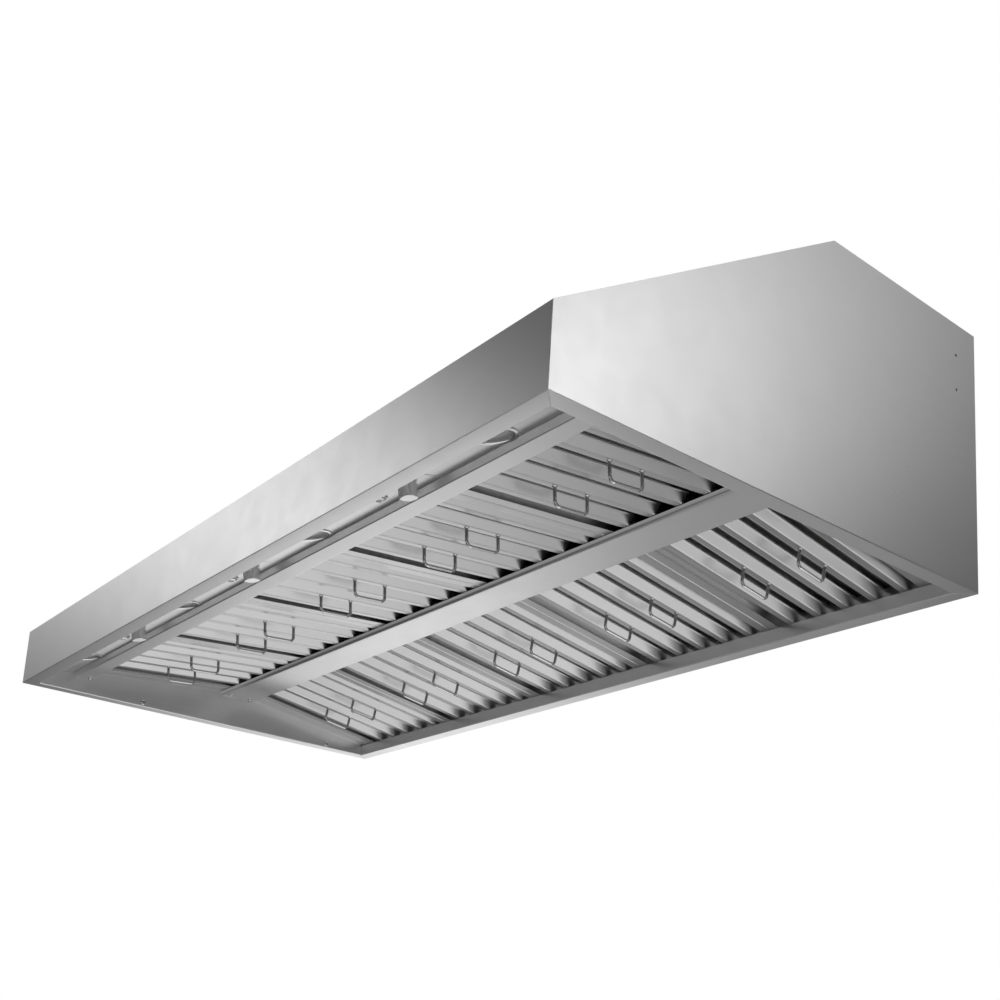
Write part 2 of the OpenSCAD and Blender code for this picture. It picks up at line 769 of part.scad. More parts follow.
module lower_baffle(length) {
    foot = blade_flat / 2;
    top = foot + blade_run;
    path = [
        [-top - blade_lip, blade_rise], [-top, blade_rise], [-foot, 0],
        [foot, 0], [top, blade_rise], [top + blade_lip, blade_rise]
    ];
    along_y(length) polygon(folded(path, filter_sheet));
}

module upper_baffle(length) {
    path = [
        [-baffle_run, upper_baffle_z], [-baffle_run, upper_top],
        [baffle_run, upper_top], [baffle_run, upper_baffle_z]
    ];
    along_y(length) polygon(folded(path, filter_sheet));
}

module filter_edge() {
    first = (blade_count - 1) / 2 * blade_pitch + blade_flat / 2;
    channel = [
        [filter_side_flange - filter_w / 2, 0], [-filter_w / 2, 0],
        [-filter_w / 2, filter_t], [filter_end_flange - filter_w / 2, filter_t]
    ];
    half_baffle = [
        [filter_sheet / 2 - filter_w / 2, upper_top],
        [-first, upper_top],
        [-first, upper_baffle_z]
    ];
    along_y(filter_l) polygon(folded(channel, -filter_sheet));
    translate([0, filter_sheet / 2, 0])
        along_y(filter_l - 2 * filter_sheet) polygon(folded(half_baffle, filter_sheet));
}

module baffle_filter() {
    half_count = (blade_count - 1) / 2;
    blade_len = filter_l - blade_setback;
    low_end = [[filter_end_flange, 0], [0, 0], [0, filter_t], [filter_end_flange, filter_t]];
    color(filter_steel) union() {
        filter_edge();
        mirror([1, 0, 0]) filter_edge();
        along_x(filter_w) polygon(folded(low_end, -filter_sheet));
        for (z = [0, upper_top])
            translate([-filter_w / 2, filter_l - filter_end_flange, z])
                cube([filter_w, filter_end_flange, filter_sheet]);
        for (k = [-half_count:half_count]) {
            translate([k * blade_pitch, filter_sheet / 2, 0]) lower_baffle(blade_len);
            translate([k * blade_pitch - blade_flat / 2, blade_len - filter_sheet, 0])
                cube([blade_flat, blade_setback, filter_sheet]);
        }
        for (k = [-half_count:half_count - 1])
            translate([(k + 0.5) * blade_pitch, filter_sheet / 2, 0])
                upper_baffle(filter_l - 2 * filter_sheet);
    }
}

// Two wire handles under the second and fourth baffles
module filter_handles() {
    wire_r = wire_d / 2;
    bar_z = wire_r - handle_drop;
    straight = handle_feet / 2 - handle_bend;
    color(wire_steel) for (x = handle_places)
        translate([x, handle_at, 0]) {
            for (end = sides) {
                translate([0, end * handle_feet / 2, bar_z + handle_bend])
                    cylinder(h = -bar_z - handle_bend, r = wire_r);
                translate([0, end * straight, bar_z + handle_bend])
                    rotate([0, 90, 0]) rotate([0, 0, end * 45 - 45])
                        rotate_extrude(angle = 90) translate([handle_bend, 0]) circle(r = wire_r);
            }
            translate([0, 0, bar_z]) rotate([90, 0, 0])
                cylinder(h = 2 * straight, r = wire_r, center = true);
        }
}

module in_front_row(i) {
    translate([filter_x(i), front_y + front_low_y, front_low_z]) rotate([front_tilt, 0, 0]) children();
}

module in_rear_row(i) {
    translate([filter_x(i), front_y + rear_low_y, rear_low_z])
        rotate([-rear_tilt, 0, 0]) rotate([0, 0, 180]) children();
}

// Blowers: drawn in the Y and Z plane about the axle

module at_axle(i) {
    translate([duct_x(i), front_y + axle_y, axle_z]) children();
}

// Outline of a scroll and its upward outlet, smaller all round by the given amount
module scroll(shrink, top) {
    steps = 30;
    growth = (scroll_end_r - scroll_start_r) / steps;
    polygon([
        for (s = [0:steps])
            let (
                a = tongue_angle + (360 - tongue_angle) * s / steps,
                r = scroll_start_r + growth * s - shrink
            ) [r * cos(a), r * sin(a)]
    ]);
    translate([tongue_y + shrink, 0]) square([scroll_end_r - tongue_y - 2 * shrink, top]);
}

module blower_housing(i) {
    flange_w = housing_w + 2 * outlet_flange;
    flange_d = scroll_end_r - tongue_y + 2 * outlet_flange;
    color(zinc) at_axle(i) difference() {
        union() {
            along_x(housing_w) scroll(0, outlet_top);
            translate([-flange_w / 2, tongue_y - outlet_flange, outlet_top - sheet_t])
                cube([flange_w, flange_d, sheet_t]);
        }
        along_x(housing_w - 2 * sheet_t) scroll(sheet_t, 2 * outlet_top);
        rotate([0, 90, 0]) cylinder(h = 2 * housing_w, r = inlet_r, center = true);
    }
}

// Wheel with a disc in the middle and a ring at each end of its vanes
module blower_wheel(i) {
    vane_r = wheel_r - vane_depth;
    vane_in = vane_depth / 10;
    color(zinc) at_axle(i) rotate([0, 90, 0]) {
        cylinder(h = vane_t, r = vane_r + 2 * vane_in, center = true);
        for (end = sides)
            translate([0, 0, end * (wheel_w - vane_t) / 2]) difference() {
                cylinder(h = vane_t, r = wheel_r, center = true);
                cylinder(h = 2 * vane_t, r = vane_r, center = true);
            }
        for (k = [1:vanes])
            rotate([0, 0, 360 * k / vanes]) translate([wheel_r - vane_depth / 2, 0, 0])
                cube([vane_depth - 2 * vane_in, vane_t, wheel_w - vane_t], center = true);
        // Hub and axle; the axle runs in the motor on the +X side
        cylinder(h = hub_len, r = hub_r, center = true);
        cylinder(h = motor_gap + axle_grip, r = axle_r);
    }
}

// Motors held in the +X inlets by three-armed brackets
module blower_motors() {
    plate_at = housing_w / 2;
    arm_len = inlet_r + arm_w;
    color(dark_steel) for (i = [1:3])
        at_axle(i) rotate([0, 90, 0]) difference() {
            union() {
                translate([0, 0, motor_gap]) cylinder(h = motor_len, r = motor_r);
                for (a = [0:120:240])
                    rotate([0, 0, a]) translate([arm_len / 2, 0, plate_at + arm_t / 2])
                        cube([arm_len, arm_w, arm_t], center = true);
                translate([0, 0, plate_at]) cylinder(h = arm_t, r = motor_r);
            }
            cylinder(h = motor_gap + axle_grip + seam, r = axle_r + running);
        }
}

module duct_collar(i) {
    neck_in = collar_r - sheet_t;
    color(zinc) translate([duct_x(i), front_y + duct_y, 0]) {
        difference() {
            union() {
                translate([0, 0, canopy_h + sheet_t / 2])
                    cube([collar_base_w, collar_base_w, sheet_t], center = true);
                translate([0, 0, canopy_h + sheet_t / 2]) cylinder(h = collar_h + sheet_t / 2, r = collar_r);
            }
            translate([0, 0, collar_z]) cylinder(h = 2 * collar_h, r = neck_in);
            cylinder(h = 2 * canopy_h, r = neck_in - collar_rim);
        }
        translate([0, 0, rod_z]) rotate([0, 90, 0])
            cylinder(h = 2 * neck_in + sheet_t, r = rod_r, center = true);
    }
}

// Half-round flap whose knuckles turn on the rod; side +1 is the rear half, with the middle knuckle
module damper_flap(i, side) {
    outer_at = (knuckle_len + outer_knuckle_len) / 2 + rest_gap;
    places = side > 0 ? [[0, knuckle_len]] : [[-outer_at, outer_knuckle_len], [outer_at, outer_knuckle_len]];
    edge_y = knuckle_r + rest_gap;
    color(zinc) translate([duct_x(i), front_y + duct_y, flap_z]) difference() {
        union() {
            intersection() {
                cylinder(h = flap_t, r = flap_r);
                translate([0, side * (edge_y + flap_r / 2), flap_t / 2])
                    cube([2 * flap_r, flap_r, flap_t], center = true);
            }
            for (p = places) {
                translate([p[0], 0, knuckle_r]) rotate([0, 90, 0])
                    cylinder(h = p[1], r = knuckle_r, center = true);
                translate([p[0], side * knuckle_r, flap_t / 2])
                    cube([p[1], 2 * edge_y - knuckle_r, flap_t], center = true);
            }
        }
        translate([0, 0, knuckle_r]) rotate([0, 90, 0])
            cylinder(h = 2 * flap_r, r = rod_r + running, center = true);
    }
}

// Supply and fixings

module junction_box() {
    top_z = canopy_h - sheet_t;
    color(zinc) translate([junction_x(), front_y + duct_y, top_z - box_h / 2]) difference() {
        cube([box_w, box_w, box_h], center = true);
        cube([box_w - 2 * sheet_t, box_w - 2 * sheet_t, 2 * box_h], center = true);
    }
}

module junction_box_lid() {
    lid_w = box_w + 2 * lid_overhang;
    color(zinc) translate([junction_x(), front_y + duct_y, canopy_h - sheet_t - box_h - sheet_t / 2])
        cube([lid_w, lid_w, sheet_t], center = true);
}

module screws() {
    color(zinc) for (side = sides) {
        liner_screw_places(side) screw();
        end_screw_places(side) screw();
    }
}

front_panel();
back_panel();
top_panel();
left_side_panel();
right_side_panel();
left_liner();
right_liner();
light_panel();
front_rail();
centre_beam();
rear_gutter();
lamp_cans();
lamp_lenses();
speed_controls();
switch_bodies();
blower_motors();
junction_box();
junction_box_lid();
screws();
for (i = [1:3]) {
    knob(i);
    rocker(i);
    blower_housing(i);
    blower_wheel(i);
    duct_collar(i);
    damper_flap(i, -1);
    damper_flap(i, 1);
}
for (i = row) {
    in_front_row(i) baffle_filter();
    in_rear_row(i) baffle_filter();
    in_front_row(i) filter_handles();
    in_rear_row(i) filter_handles();
}
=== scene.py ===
"""Looks of the range hood: folded brushed steel, baffle filters, wire handles, lamps and controls, in a plain studio.

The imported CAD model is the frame. Sheet-metal nodes are copied and get rounded folds, the filters, handles, lamps,
knobs and fixings are modelled here, and the remaining nodes keep their shape and get a finish.
"""

import json
import logging
import math
from dataclasses import dataclass
from enum import Enum
from itertools import product
from typing import Sequence

import bmesh
import bpy
from mathutils import Matrix, Vector


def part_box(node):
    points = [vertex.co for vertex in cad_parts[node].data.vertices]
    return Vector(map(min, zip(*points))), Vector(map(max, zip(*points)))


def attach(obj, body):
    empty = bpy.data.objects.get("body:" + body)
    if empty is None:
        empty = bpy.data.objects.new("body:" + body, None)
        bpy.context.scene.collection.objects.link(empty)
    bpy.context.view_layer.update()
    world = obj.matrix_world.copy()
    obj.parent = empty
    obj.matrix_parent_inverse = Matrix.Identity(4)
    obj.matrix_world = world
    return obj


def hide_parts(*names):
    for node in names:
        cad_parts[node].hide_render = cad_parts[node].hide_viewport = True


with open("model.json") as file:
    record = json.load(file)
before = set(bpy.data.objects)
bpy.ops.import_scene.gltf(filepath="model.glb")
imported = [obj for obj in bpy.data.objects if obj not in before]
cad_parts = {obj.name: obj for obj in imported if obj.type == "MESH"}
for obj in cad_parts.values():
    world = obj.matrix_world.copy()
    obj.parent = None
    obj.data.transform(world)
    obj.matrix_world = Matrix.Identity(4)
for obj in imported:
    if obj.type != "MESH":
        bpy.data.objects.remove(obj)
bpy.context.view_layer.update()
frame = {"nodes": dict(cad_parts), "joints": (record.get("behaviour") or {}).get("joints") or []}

WELD = 5e-6
FLAT = math.radians(1)
CREASE = math.radians(40)
ROWS = ("front", "rear")
FILTERS_PER_ROW = 5
GROUPS = 3
LAMPS = 4
FIXED_BODY = "canopy"

logging.basicConfig(level=logging.INFO, format="%(message)s")
log = logging.getLogger("hood")

Point = tuple[float, float]
Triple = tuple[float, float, float]
Shape = bmesh.types.BMesh
Material = bpy.types.Material
Socket = bpy.types.NodeSocket
Nodes = bpy.types.NodeTree
Piece = bpy.types.Object


class Slot(Enum):
    """Material slots of the record, passed along with the pieces made here but not stored on them."""

    CANOPY = "canopy_steel"
    FILTER = "filter_steel"
    WIRE = "handle_wire"
    BEZEL = "lamp_bezel"
    GLASS = "lamp_glass"
    KNOB = "knob_metal"
    FIXING = "fixings"


class Grain(Enum):
    """Direction in which a sheet was brushed, as a turn about the upright axis."""

    ACROSS = 0.0
    BACKWARD = math.pi / 2


# Shader nodes


def feed(tree: Nodes, node: bpy.types.Node, inputs: dict) -> None:
    """Sets a node's inputs.

    Args:
        tree: The node tree.
        node: The node.
        inputs: Input names or numbers, each with a value or with the socket that feeds it.
    """
    for name, value in inputs.items():
        if isinstance(value, Socket):
            tree.links.new(value, node.inputs[name])
        else:
            node.inputs[name].default_value = value


def add_node(tree: Nodes, kind: str, inputs: dict | None = None, **settings) -> bpy.types.Node:
    """Adds a node to a tree.

    Args:
        tree: The node tree.
        kind: The node's type name, without its first part.
        inputs: Input names or numbers, each with a value or with the socket that feeds it.
        **settings: Properties of the node.

    Returns:
        The new node.
    """
    node = tree.nodes.new(f"ShaderNode{kind}")
    for name, value in settings.items():
        setattr(node, name, value)
    feed(tree, node, inputs or {})
    return node


def calculate(tree: Nodes, operation: str, first: Socket | float, second: Socket | float, **settings) -> Socket:
    """Adds a Math node and gives its result."""
    return add_node(tree, "Math", {0: first, 1: second}, operation=operation, **settings).outputs[0]


def spread(tree: Nodes, value: Socket, low: float, high: float) -> Socket:
    """Spreads a value from nought to one over a range from low to high."""
    return add_node(tree, "MapRange", {"Value": value, "To Min": low, "To Max": high}).outputs[0]


def smooth_step(tree: Nodes, value: Socket, start: float, end: float, high: float = 1.0) -> Socket:
    """Rises softly from nought to high while a value goes from start to end."""
    inputs = {"Value": value, "From Min": start, "From Max": end, "To Max": high}
    return add_node(tree, "MapRange", inputs, interpolation_type="SMOOTHSTEP").outputs[0]


def add_noise(tree: Nodes, place: Socket, scale: float, detail: float, **others: float) -> Socket:
    """Adds a noise texture with so many patches per unit and so many finer layers."""
    inputs = {"Vector": place, "Scale": scale, "Detail": detail, **others}
    return add_node(tree, "TexNoise", inputs).outputs["Fac"]


def new_group(name: str, inputs: Sequence[str], outputs: Sequence[str]) -> tuple:
    """Starts a shader node group that follows a vector.

    Args:
        name: The group's name.
        inputs: Names of its values beside the vector.
        outputs: Names of the values that it gives.

    Returns:
        The tree, its input node and its output node.
    """
    tree = bpy.data.node_groups.new(name, "ShaderNodeTree")
    tree.interface.new_socket("Vector", in_out="INPUT", socket_type="NodeSocketVector")
    for way, labels in (("INPUT", inputs), ("OUTPUT", outputs)):
        for label in labels:
            tree.interface.new_socket(label, in_out=way, socket_type="NodeSocketFloat")
    return tree, tree.nodes.new("NodeGroupInput"), tree.nodes.new("NodeGroupOutput")


@dataclass(frozen=True)
class BrushedGrain:
    """Fine parallel scratches along X of the vector that it is given."""

    streaks_along: float = 6.0
    streaks_across: float = 2200.0
    detail: float = 2.0
    fineness: float = 0.6

    def build(self) -> Nodes:
        """Makes the node group.

        Returns:
            The group, with Height, Tone and Roughness outputs.
        """
        tree, given, result = new_group("brushed_grain", ("Contrast", "Roughness"), ("Height", "Tone", "Roughness"))
        stretch = (self.streaks_along, self.streaks_across, self.streaks_across)
        stretched = add_node(tree, "VectorMath", {0: given.outputs["Vector"], 1: stretch}, operation="MULTIPLY")
        streaks = add_noise(tree, stretched.outputs[0], 1, self.detail, Roughness=self.fineness)
        centred = calculate(tree, "SUBTRACT", streaks, 0.5)
        swing = calculate(tree, "MULTIPLY", centred, given.outputs["Contrast"])
        feed(tree, result, {
            "Height": streaks,
            "Tone": calculate(tree, "ADD", swing, 1),
            "Roughness": calculate(tree, "ADD", swing, given.outputs["Roughness"]),
        })
        return tree


@dataclass(frozen=True)
class HandlingMarks:
    """Soft cloudy patches left by wiping and handling."""

    patches: float = 5.0
    patch_detail: float = 3.0
    smears: float = 22.0
    smear_detail: float = 4.0
    distortion: float = 0.6

    def build(self) -> Nodes:
        """Makes the node group.

        Returns:
            The group, with Tone and Roughness outputs.
        """
        tree, given, result = new_group("handling_marks", ("Strength",), ("Tone", "Roughness"))
        place = given.outputs["Vector"]
        wide = add_noise(tree, place, self.patches, self.patch_detail)
        small = add_noise(tree, place, self.smears, self.smear_detail, Distortion=self.distortion)
        centred = calculate(tree, "SUBTRACT", calculate(tree, "ADD", wide, small), 1)
        marks = calculate(tree, "MULTIPLY", centred, given.outputs["Strength"])
        feed(tree, result, {"Tone": calculate(tree, "SUBTRACT", 1, marks), "Roughness": marks})
        return tree


class Effects:
    """The shader node groups, built once and used by every finish."""

    def __init__(self) -> None:
        """Builds the groups."""
        self.grain = BrushedGrain().build()
        self.marks = HandlingMarks().build()


class Look:
    """A material in the making, with a Principled shader."""

    def __init__(self, name: str) -> None:
        """Starts the material.

        Args:
            name: Its name.
        """
        self.material = bpy.data.materials.new(name)
        self.material.use_nodes = True
        self.tree = self.material.node_tree
        self.shader = self.tree.nodes["Principled BSDF"]
        self.place = add_node(self.tree, "TexCoord").outputs["Object"]

    def marks(self, effects: Effects, strength: float, roughness: Socket | float) -> tuple[Socket, Socket]:
        """Adds handling marks to a roughness, and gives the sockets with their tone and with the result."""
        marks = add_node(self.tree, "Group", {"Vector": self.place, "Strength": strength}, node_tree=effects.marks)
        return marks.outputs["Tone"], calculate(self.tree, "ADD", roughness, marks.outputs["Roughness"])

    def tinted(self, colour: Triple | Socket, *tones: Socket) -> Socket:
        """Multiplies a colour by one or more tones.

        Args:
            colour: Red, green and blue.
            *tones: Sockets that give a value near one.

        Returns:
            The socket with the product.
        """
        for tone in tones:
            colour = add_node(self.tree, "VectorMath", {0: colour, "Scale": tone}, operation="SCALE").outputs[0]
        return colour

    def bump(self, height: Socket, depth: float) -> Socket:
        """Gives the normal of a surface whose texture has this depth in metres."""
        inputs = {"Height": height, "Strength": 1, "Distance": depth}
        return add_node(self.tree, "Bump", inputs).outputs[0]

    def finish(self, colour: Socket, roughness: Socket, **others: Socket | float) -> Material:
        """Feeds the shader and gives the material."""
        feed(self.tree, self.shader, {"Base Color": colour, "Roughness": roughness, **others})
        return self.material


@dataclass(frozen=True)
class Finish:
    """What every finish of the hood has."""

    name: str
    colour: Triple
    roughness: float
    marks: float

    def build(self, effects: Effects) -> Material:
        """Makes the material.

        Args:
            effects: The shared node groups.

        Returns:
            The material.
        """
        raise NotImplementedError


@dataclass(frozen=True)
class BrushedSteel(Finish):
    """Stainless sheet with a brushed grain and faint handling marks."""

    grain: Grain
    contrast: float
    scratch_depth: float

    def build(self, effects: Effects) -> Material:
        """Makes the steel, as Finish.build says."""
        look = Look(self.name)
        turn = (0, 0, self.grain.value)
        turned = add_node(look.tree, "Mapping", {"Vector": look.place, "Rotation": turn}).outputs[0]
        grain = add_node(
            look.tree, "Group", {"Vector": turned, "Contrast": self.contrast, "Roughness": self.roughness},
            node_tree=effects.grain,
        )
        tone, rough = look.marks(effects, self.marks, grain.outputs["Roughness"])
        return look.finish(
            look.tinted(self.colour, grain.outputs["Tone"], tone), rough, Metallic=1,
            Normal=look.bump(grain.outputs["Height"], self.scratch_depth),
        )


@dataclass(frozen=True)
class SmoothSurface(Finish):
    """Bright metal, plastic or paint with faint marks, and with a fine even texture where it has a size."""

    metallic: float = 1.0
    texture_size: float = 0.0
    texture_depth: float = 0.0
    detail: float = 2.0

    def build(self, effects: Effects) -> Material:
        """Makes the surface, as Finish.build says."""
        look = Look(self.name)
        tone, rough = look.marks(effects, self.marks, self.roughness)
        if self.texture_size:
            texture = add_noise(look.tree, look.place, 1 / self.texture_size, self.detail)
            feed(look.tree, look.shader, {"Normal": look.bump(texture, self.texture_depth)})
        return look.finish(look.tinted(self.colour, tone), rough, Metallic=self.metallic)


@dataclass(frozen=True)
class GalvanisedSheet(Finish):
    """Zinc-coated sheet with its crystals."""

    darkest: float = 0.86
    lightest: float = 1.1
    swing: float = 0.08
    crystal_size: float = 0.012

    def build(self, effects: Effects) -> Material:
        """Makes the sheet, as Finish.build says."""
        look = Look(self.name)
        crystals = add_node(look.tree, "TexVoronoi", {"Vector": look.place, "Scale": 1 / self.crystal_size})
        level = add_node(look.tree, "SeparateColor", {0: crystals.outputs["Color"]})
        tone = spread(look.tree, level.outputs[0], self.darkest, self.lightest)
        rough = spread(look.tree, level.outputs[1], self.roughness - self.swing, self.roughness + self.swing)
        marks = add_node(look.tree, "Group", {"Vector": look.place, "Strength": self.marks}, node_tree=effects.marks)
        return look.finish(look.tinted(self.colour, tone, marks.outputs["Tone"]), rough, Metallic=1)


@dataclass(frozen=True)
class FrostedGlass:
    """Lamp glass, frosted on the inside."""

    name: str
    colour: Triple = (0.93, 0.94, 0.92)
    darkest: float = 0.96
    roughness: float = 0.32
    swing: float = 0.05
    frost_size: float = 0.0012
    detail: float = 2.0
    clearness: float = 0.9
    refraction: float = 1.47

    def build(self) -> Material:
        """Makes the material.

        Returns:
            The material.
        """
        look = Look(self.name)
        frost = add_noise(look.tree, look.place, 1 / self.frost_size, self.detail)
        tone = spread(look.tree, frost, self.darkest, 1)
        rough = spread(look.tree, frost, self.roughness - self.swing, self.roughness + self.swing)
        optics = {"Transmission Weight": self.clearness, "IOR": self.refraction}
        return look.finish(look.tinted(self.colour, tone), rough, **optics)


class Finishes:
    """Every material of the hood."""

    def __init__(self) -> None:
        """Builds the materials from the shared effects."""
        effects = Effects()
        self.across, self.backward = (
            BrushedSteel(
                f"canopy_steel_brushed_{grain.name.lower()}", (0.74, 0.74, 0.74), 0.3, 0.04, grain, 0.07, 0.000004
            ).build(effects) for grain in Grain
        )
        self.filter = BrushedSteel(
            "filter_steel", (0.58, 0.58, 0.58), 0.31, 0.02, Grain.BACKWARD, 0.05, 0.000002
        ).build(effects)
        self.wire = SmoothSurface("handle_wire_polished", (0.6, 0.6, 0.61), 0.07, 0.04).build(effects)
        self.bezel = SmoothSurface("lamp_bezel_satin", (0.74, 0.74, 0.75), 0.22, 0.04).build(effects)
        self.knob = SmoothSurface(
            "knob_satin_aluminium", (0.82, 0.82, 0.83), 0.27, 0.04, texture_size=0.0005, texture_depth=0.000006
        ).build(effects)
        self.fixing = SmoothSurface("fixing_plain_steel", (0.62, 0.62, 0.63), 0.11, 0.04).build(effects)
        self.plastic = SmoothSurface(
            "black_plastic_fine_matt", (0.035, 0.035, 0.037), 0.5, 0.08, 0, 0.0006, 0.00003, 1.0
        ).build(effects)
        self.motor = SmoothSurface(
            "motor_paint_semi_matt", (0.05, 0.05, 0.055), 0.35, 0.08, 0, 0.003, 0.00008, 1.0
        ).build(effects)
        self.zinc = GalvanisedSheet("galvanised_sheet", (0.60, 0.61, 0.62), 0.38, 0.1).build(effects)
        self.glass = FrostedGlass("lamp_glass_frosted").build()


# Shapes


def lathe(profile: Sequence[Point], steps: int = 48) -> Shape:
    """Turns a profile about Z.

    Args:
        profile: Points of radius and height. A solid's profile starts and ends on the axis or closes on itself.
        steps: Number of facets round the axis.

    Returns:
        The turned shape, with its faces pointing outwards.
    """
    shape = bmesh.new()
    points = [shape.verts.new((radius, 0, height)) for radius, height in profile]
    lines = [shape.edges.new(pair) for pair in zip(points, points[1:])]
    bmesh.ops.spin(shape, geom=points + lines, axis=(0, 0, 1), angle=math.tau, steps=steps, use_merge=True)
    bmesh.ops.remove_doubles(shape, verts=shape.verts, dist=WELD)
    bmesh.ops.recalc_face_normals(shape, faces=shape.faces)
    return shape


def add_shape(target: Shape, source: Shape, place: Matrix) -> None:
    """Adds one shape to another and frees it.

    Args:
        target: The shape that is added to.
        source: The shape that is added.
        place: Where the added shape goes.
    """
    source.transform(place)
    carrier = bpy.data.meshes.new("carrier")
    source.to_mesh(carrier)
    source.free()
    target.from_mesh(carrier)
    bpy.data.meshes.remove(carrier)


def mark_creases(shape: Shape, angle: float = CREASE) -> None:
    """Shades a shape smooth, with sharp edges where its faces turn by more than an angle.

    Args:
        shape: The shape.
        angle: The angle in radians.
    """
    for face in shape.faces:
        face.smooth = True
    for edge in shape.edges:
        edge.smooth = edge.is_manifold and edge.calc_face_angle(0) < angle


def merged_copy(node: str) -> Shape:
    """Copies a CAD node's mesh, with its triangles joined into flat faces.

    Args:
        node: The CAD node.

    Returns:
        The copy.
    """
    shape = bmesh.new()
    shape.from_mesh(frame["nodes"][node].data)
    bmesh.ops.remove_doubles(shape, verts=shape.verts, dist=WELD)
    bmesh.ops.dissolve_limit(shape, angle_limit=FLAT, verts=shape.verts, edges=shape.edges)
    return shape


def joint_vector(name: str, key: str = "pos_m") -> Vector:
    """Gives the anchor of a joint in metres, or its axis."""
    return Vector(next(joint for joint in frame["joints"] if joint["name"] == name)[key])


def vertices(items: Sequence) -> list:
    """Picks the vertices from a result of a bmesh operator."""
    return [item for item in items if isinstance(item, bmesh.types.BMVert)]


def ring_edges(ring: Sequence) -> list:
    """Gives the edges that join the vertices of a ring."""
    members = set(ring)
    return list({edge for vert in ring for edge in vert.link_edges if set(edge.verts) <= members})


def circle(shape: Shape, radius: float, sides: int, centre: Triple, filled: bool = False) -> list:
    """Adds a level circle to a shape and gives its vertices."""
    place = Matrix.Translation(centre)
    return bmesh.ops.create_circle(shape, cap_ends=filled, radius=radius, segments=sides, matrix=place)["verts"]


def scaled(profile: Sequence[Point], radius: float, height: float) -> list[Point]:
    """Gives a profile drawn in shares of a radius and a height its real size."""
    return [(share * radius, level * height) for share, level in profile]


def new_piece(name: str, shape: Shape, material: Material) -> Piece:
    """Makes an object of the scene.

    Args:
        name: Its name.
        shape: Its shape, which is freed.
        material: Its material.

    Returns:
        The object.
    """
    mesh = bpy.data.meshes.new(name)
    shape.to_mesh(mesh)
    shape.free()
    mesh.materials.append(material)
    piece = bpy.data.objects.new(name, mesh)
    bpy.context.scene.collection.objects.link(piece)
    return piece


@dataclass
class Assembly:
    """A group of pieces that are built and dressed together."""

    finishes: Finishes

    @staticmethod
    def add(
        name: str, shape: Shape, slot: Slot, material: Material, *replaces: str, body: str = FIXED_BODY
    ) -> Piece:
        """Makes a piece of the scene from a shape.

        Args:
            name: The piece's name.
            shape: Its shape, which is freed.
            slot: The record's material slot; not used.
            material: Its material.
            *replaces: CAD nodes that it stands for.
            body: The CAD body that it rides on.

        Returns:
            The piece.
        """
        piece = new_piece(name, shape, material)
        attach(piece, body)
        if replaces:
            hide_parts(*replaces)
        log.info("%s: %d faces on %s", name, len(piece.data.polygons), body)
        return piece

    def round_edges(self, piece: Piece, width: float, segments: int = 2, angle: float = CREASE) -> None:
        """Rounds a piece's sharp edges.

        Args:
            piece: The piece.
            width: The width of the rounding in metres.
            segments: The number of facets across it.
            angle: The angle above which an edge is rounded.
        """
        bevel = piece.modifiers.new("rounded_edges", "BEVEL")
        bevel.limit_method = "ANGLE"
        bevel.angle_limit = angle
        bevel.width = width
        bevel.segments = segments
        self.even_shading(piece)

    @staticmethod
    def even_shading(piece: Piece) -> None:
        """Keeps flat faces evenly shaded beside rounded edges."""
        for face in piece.data.polygons:
            face.use_smooth = True
        normals = piece.modifiers.new("even_shading", "WEIGHTED_NORMAL")
        normals.keep_sharp = True

    @staticmethod
    def dress(nodes: Sequence[str], material: Material) -> None:
        """Gives CAD nodes a material.

        Args:
            nodes: The nodes.
            material: The material.
        """
        for node in nodes:
            for slot in frame["nodes"][node].material_slots:
                slot.material = material
        log.info("%s: dressed as %s", ", ".join(nodes), material.name)


class FoldKind(Enum):
    """Kinds of edge on a folded sheet."""

    OUTER = "outer side of a fold"
    INNER = "inner side of a fold"
    CUT = "edge of the cut sheet"


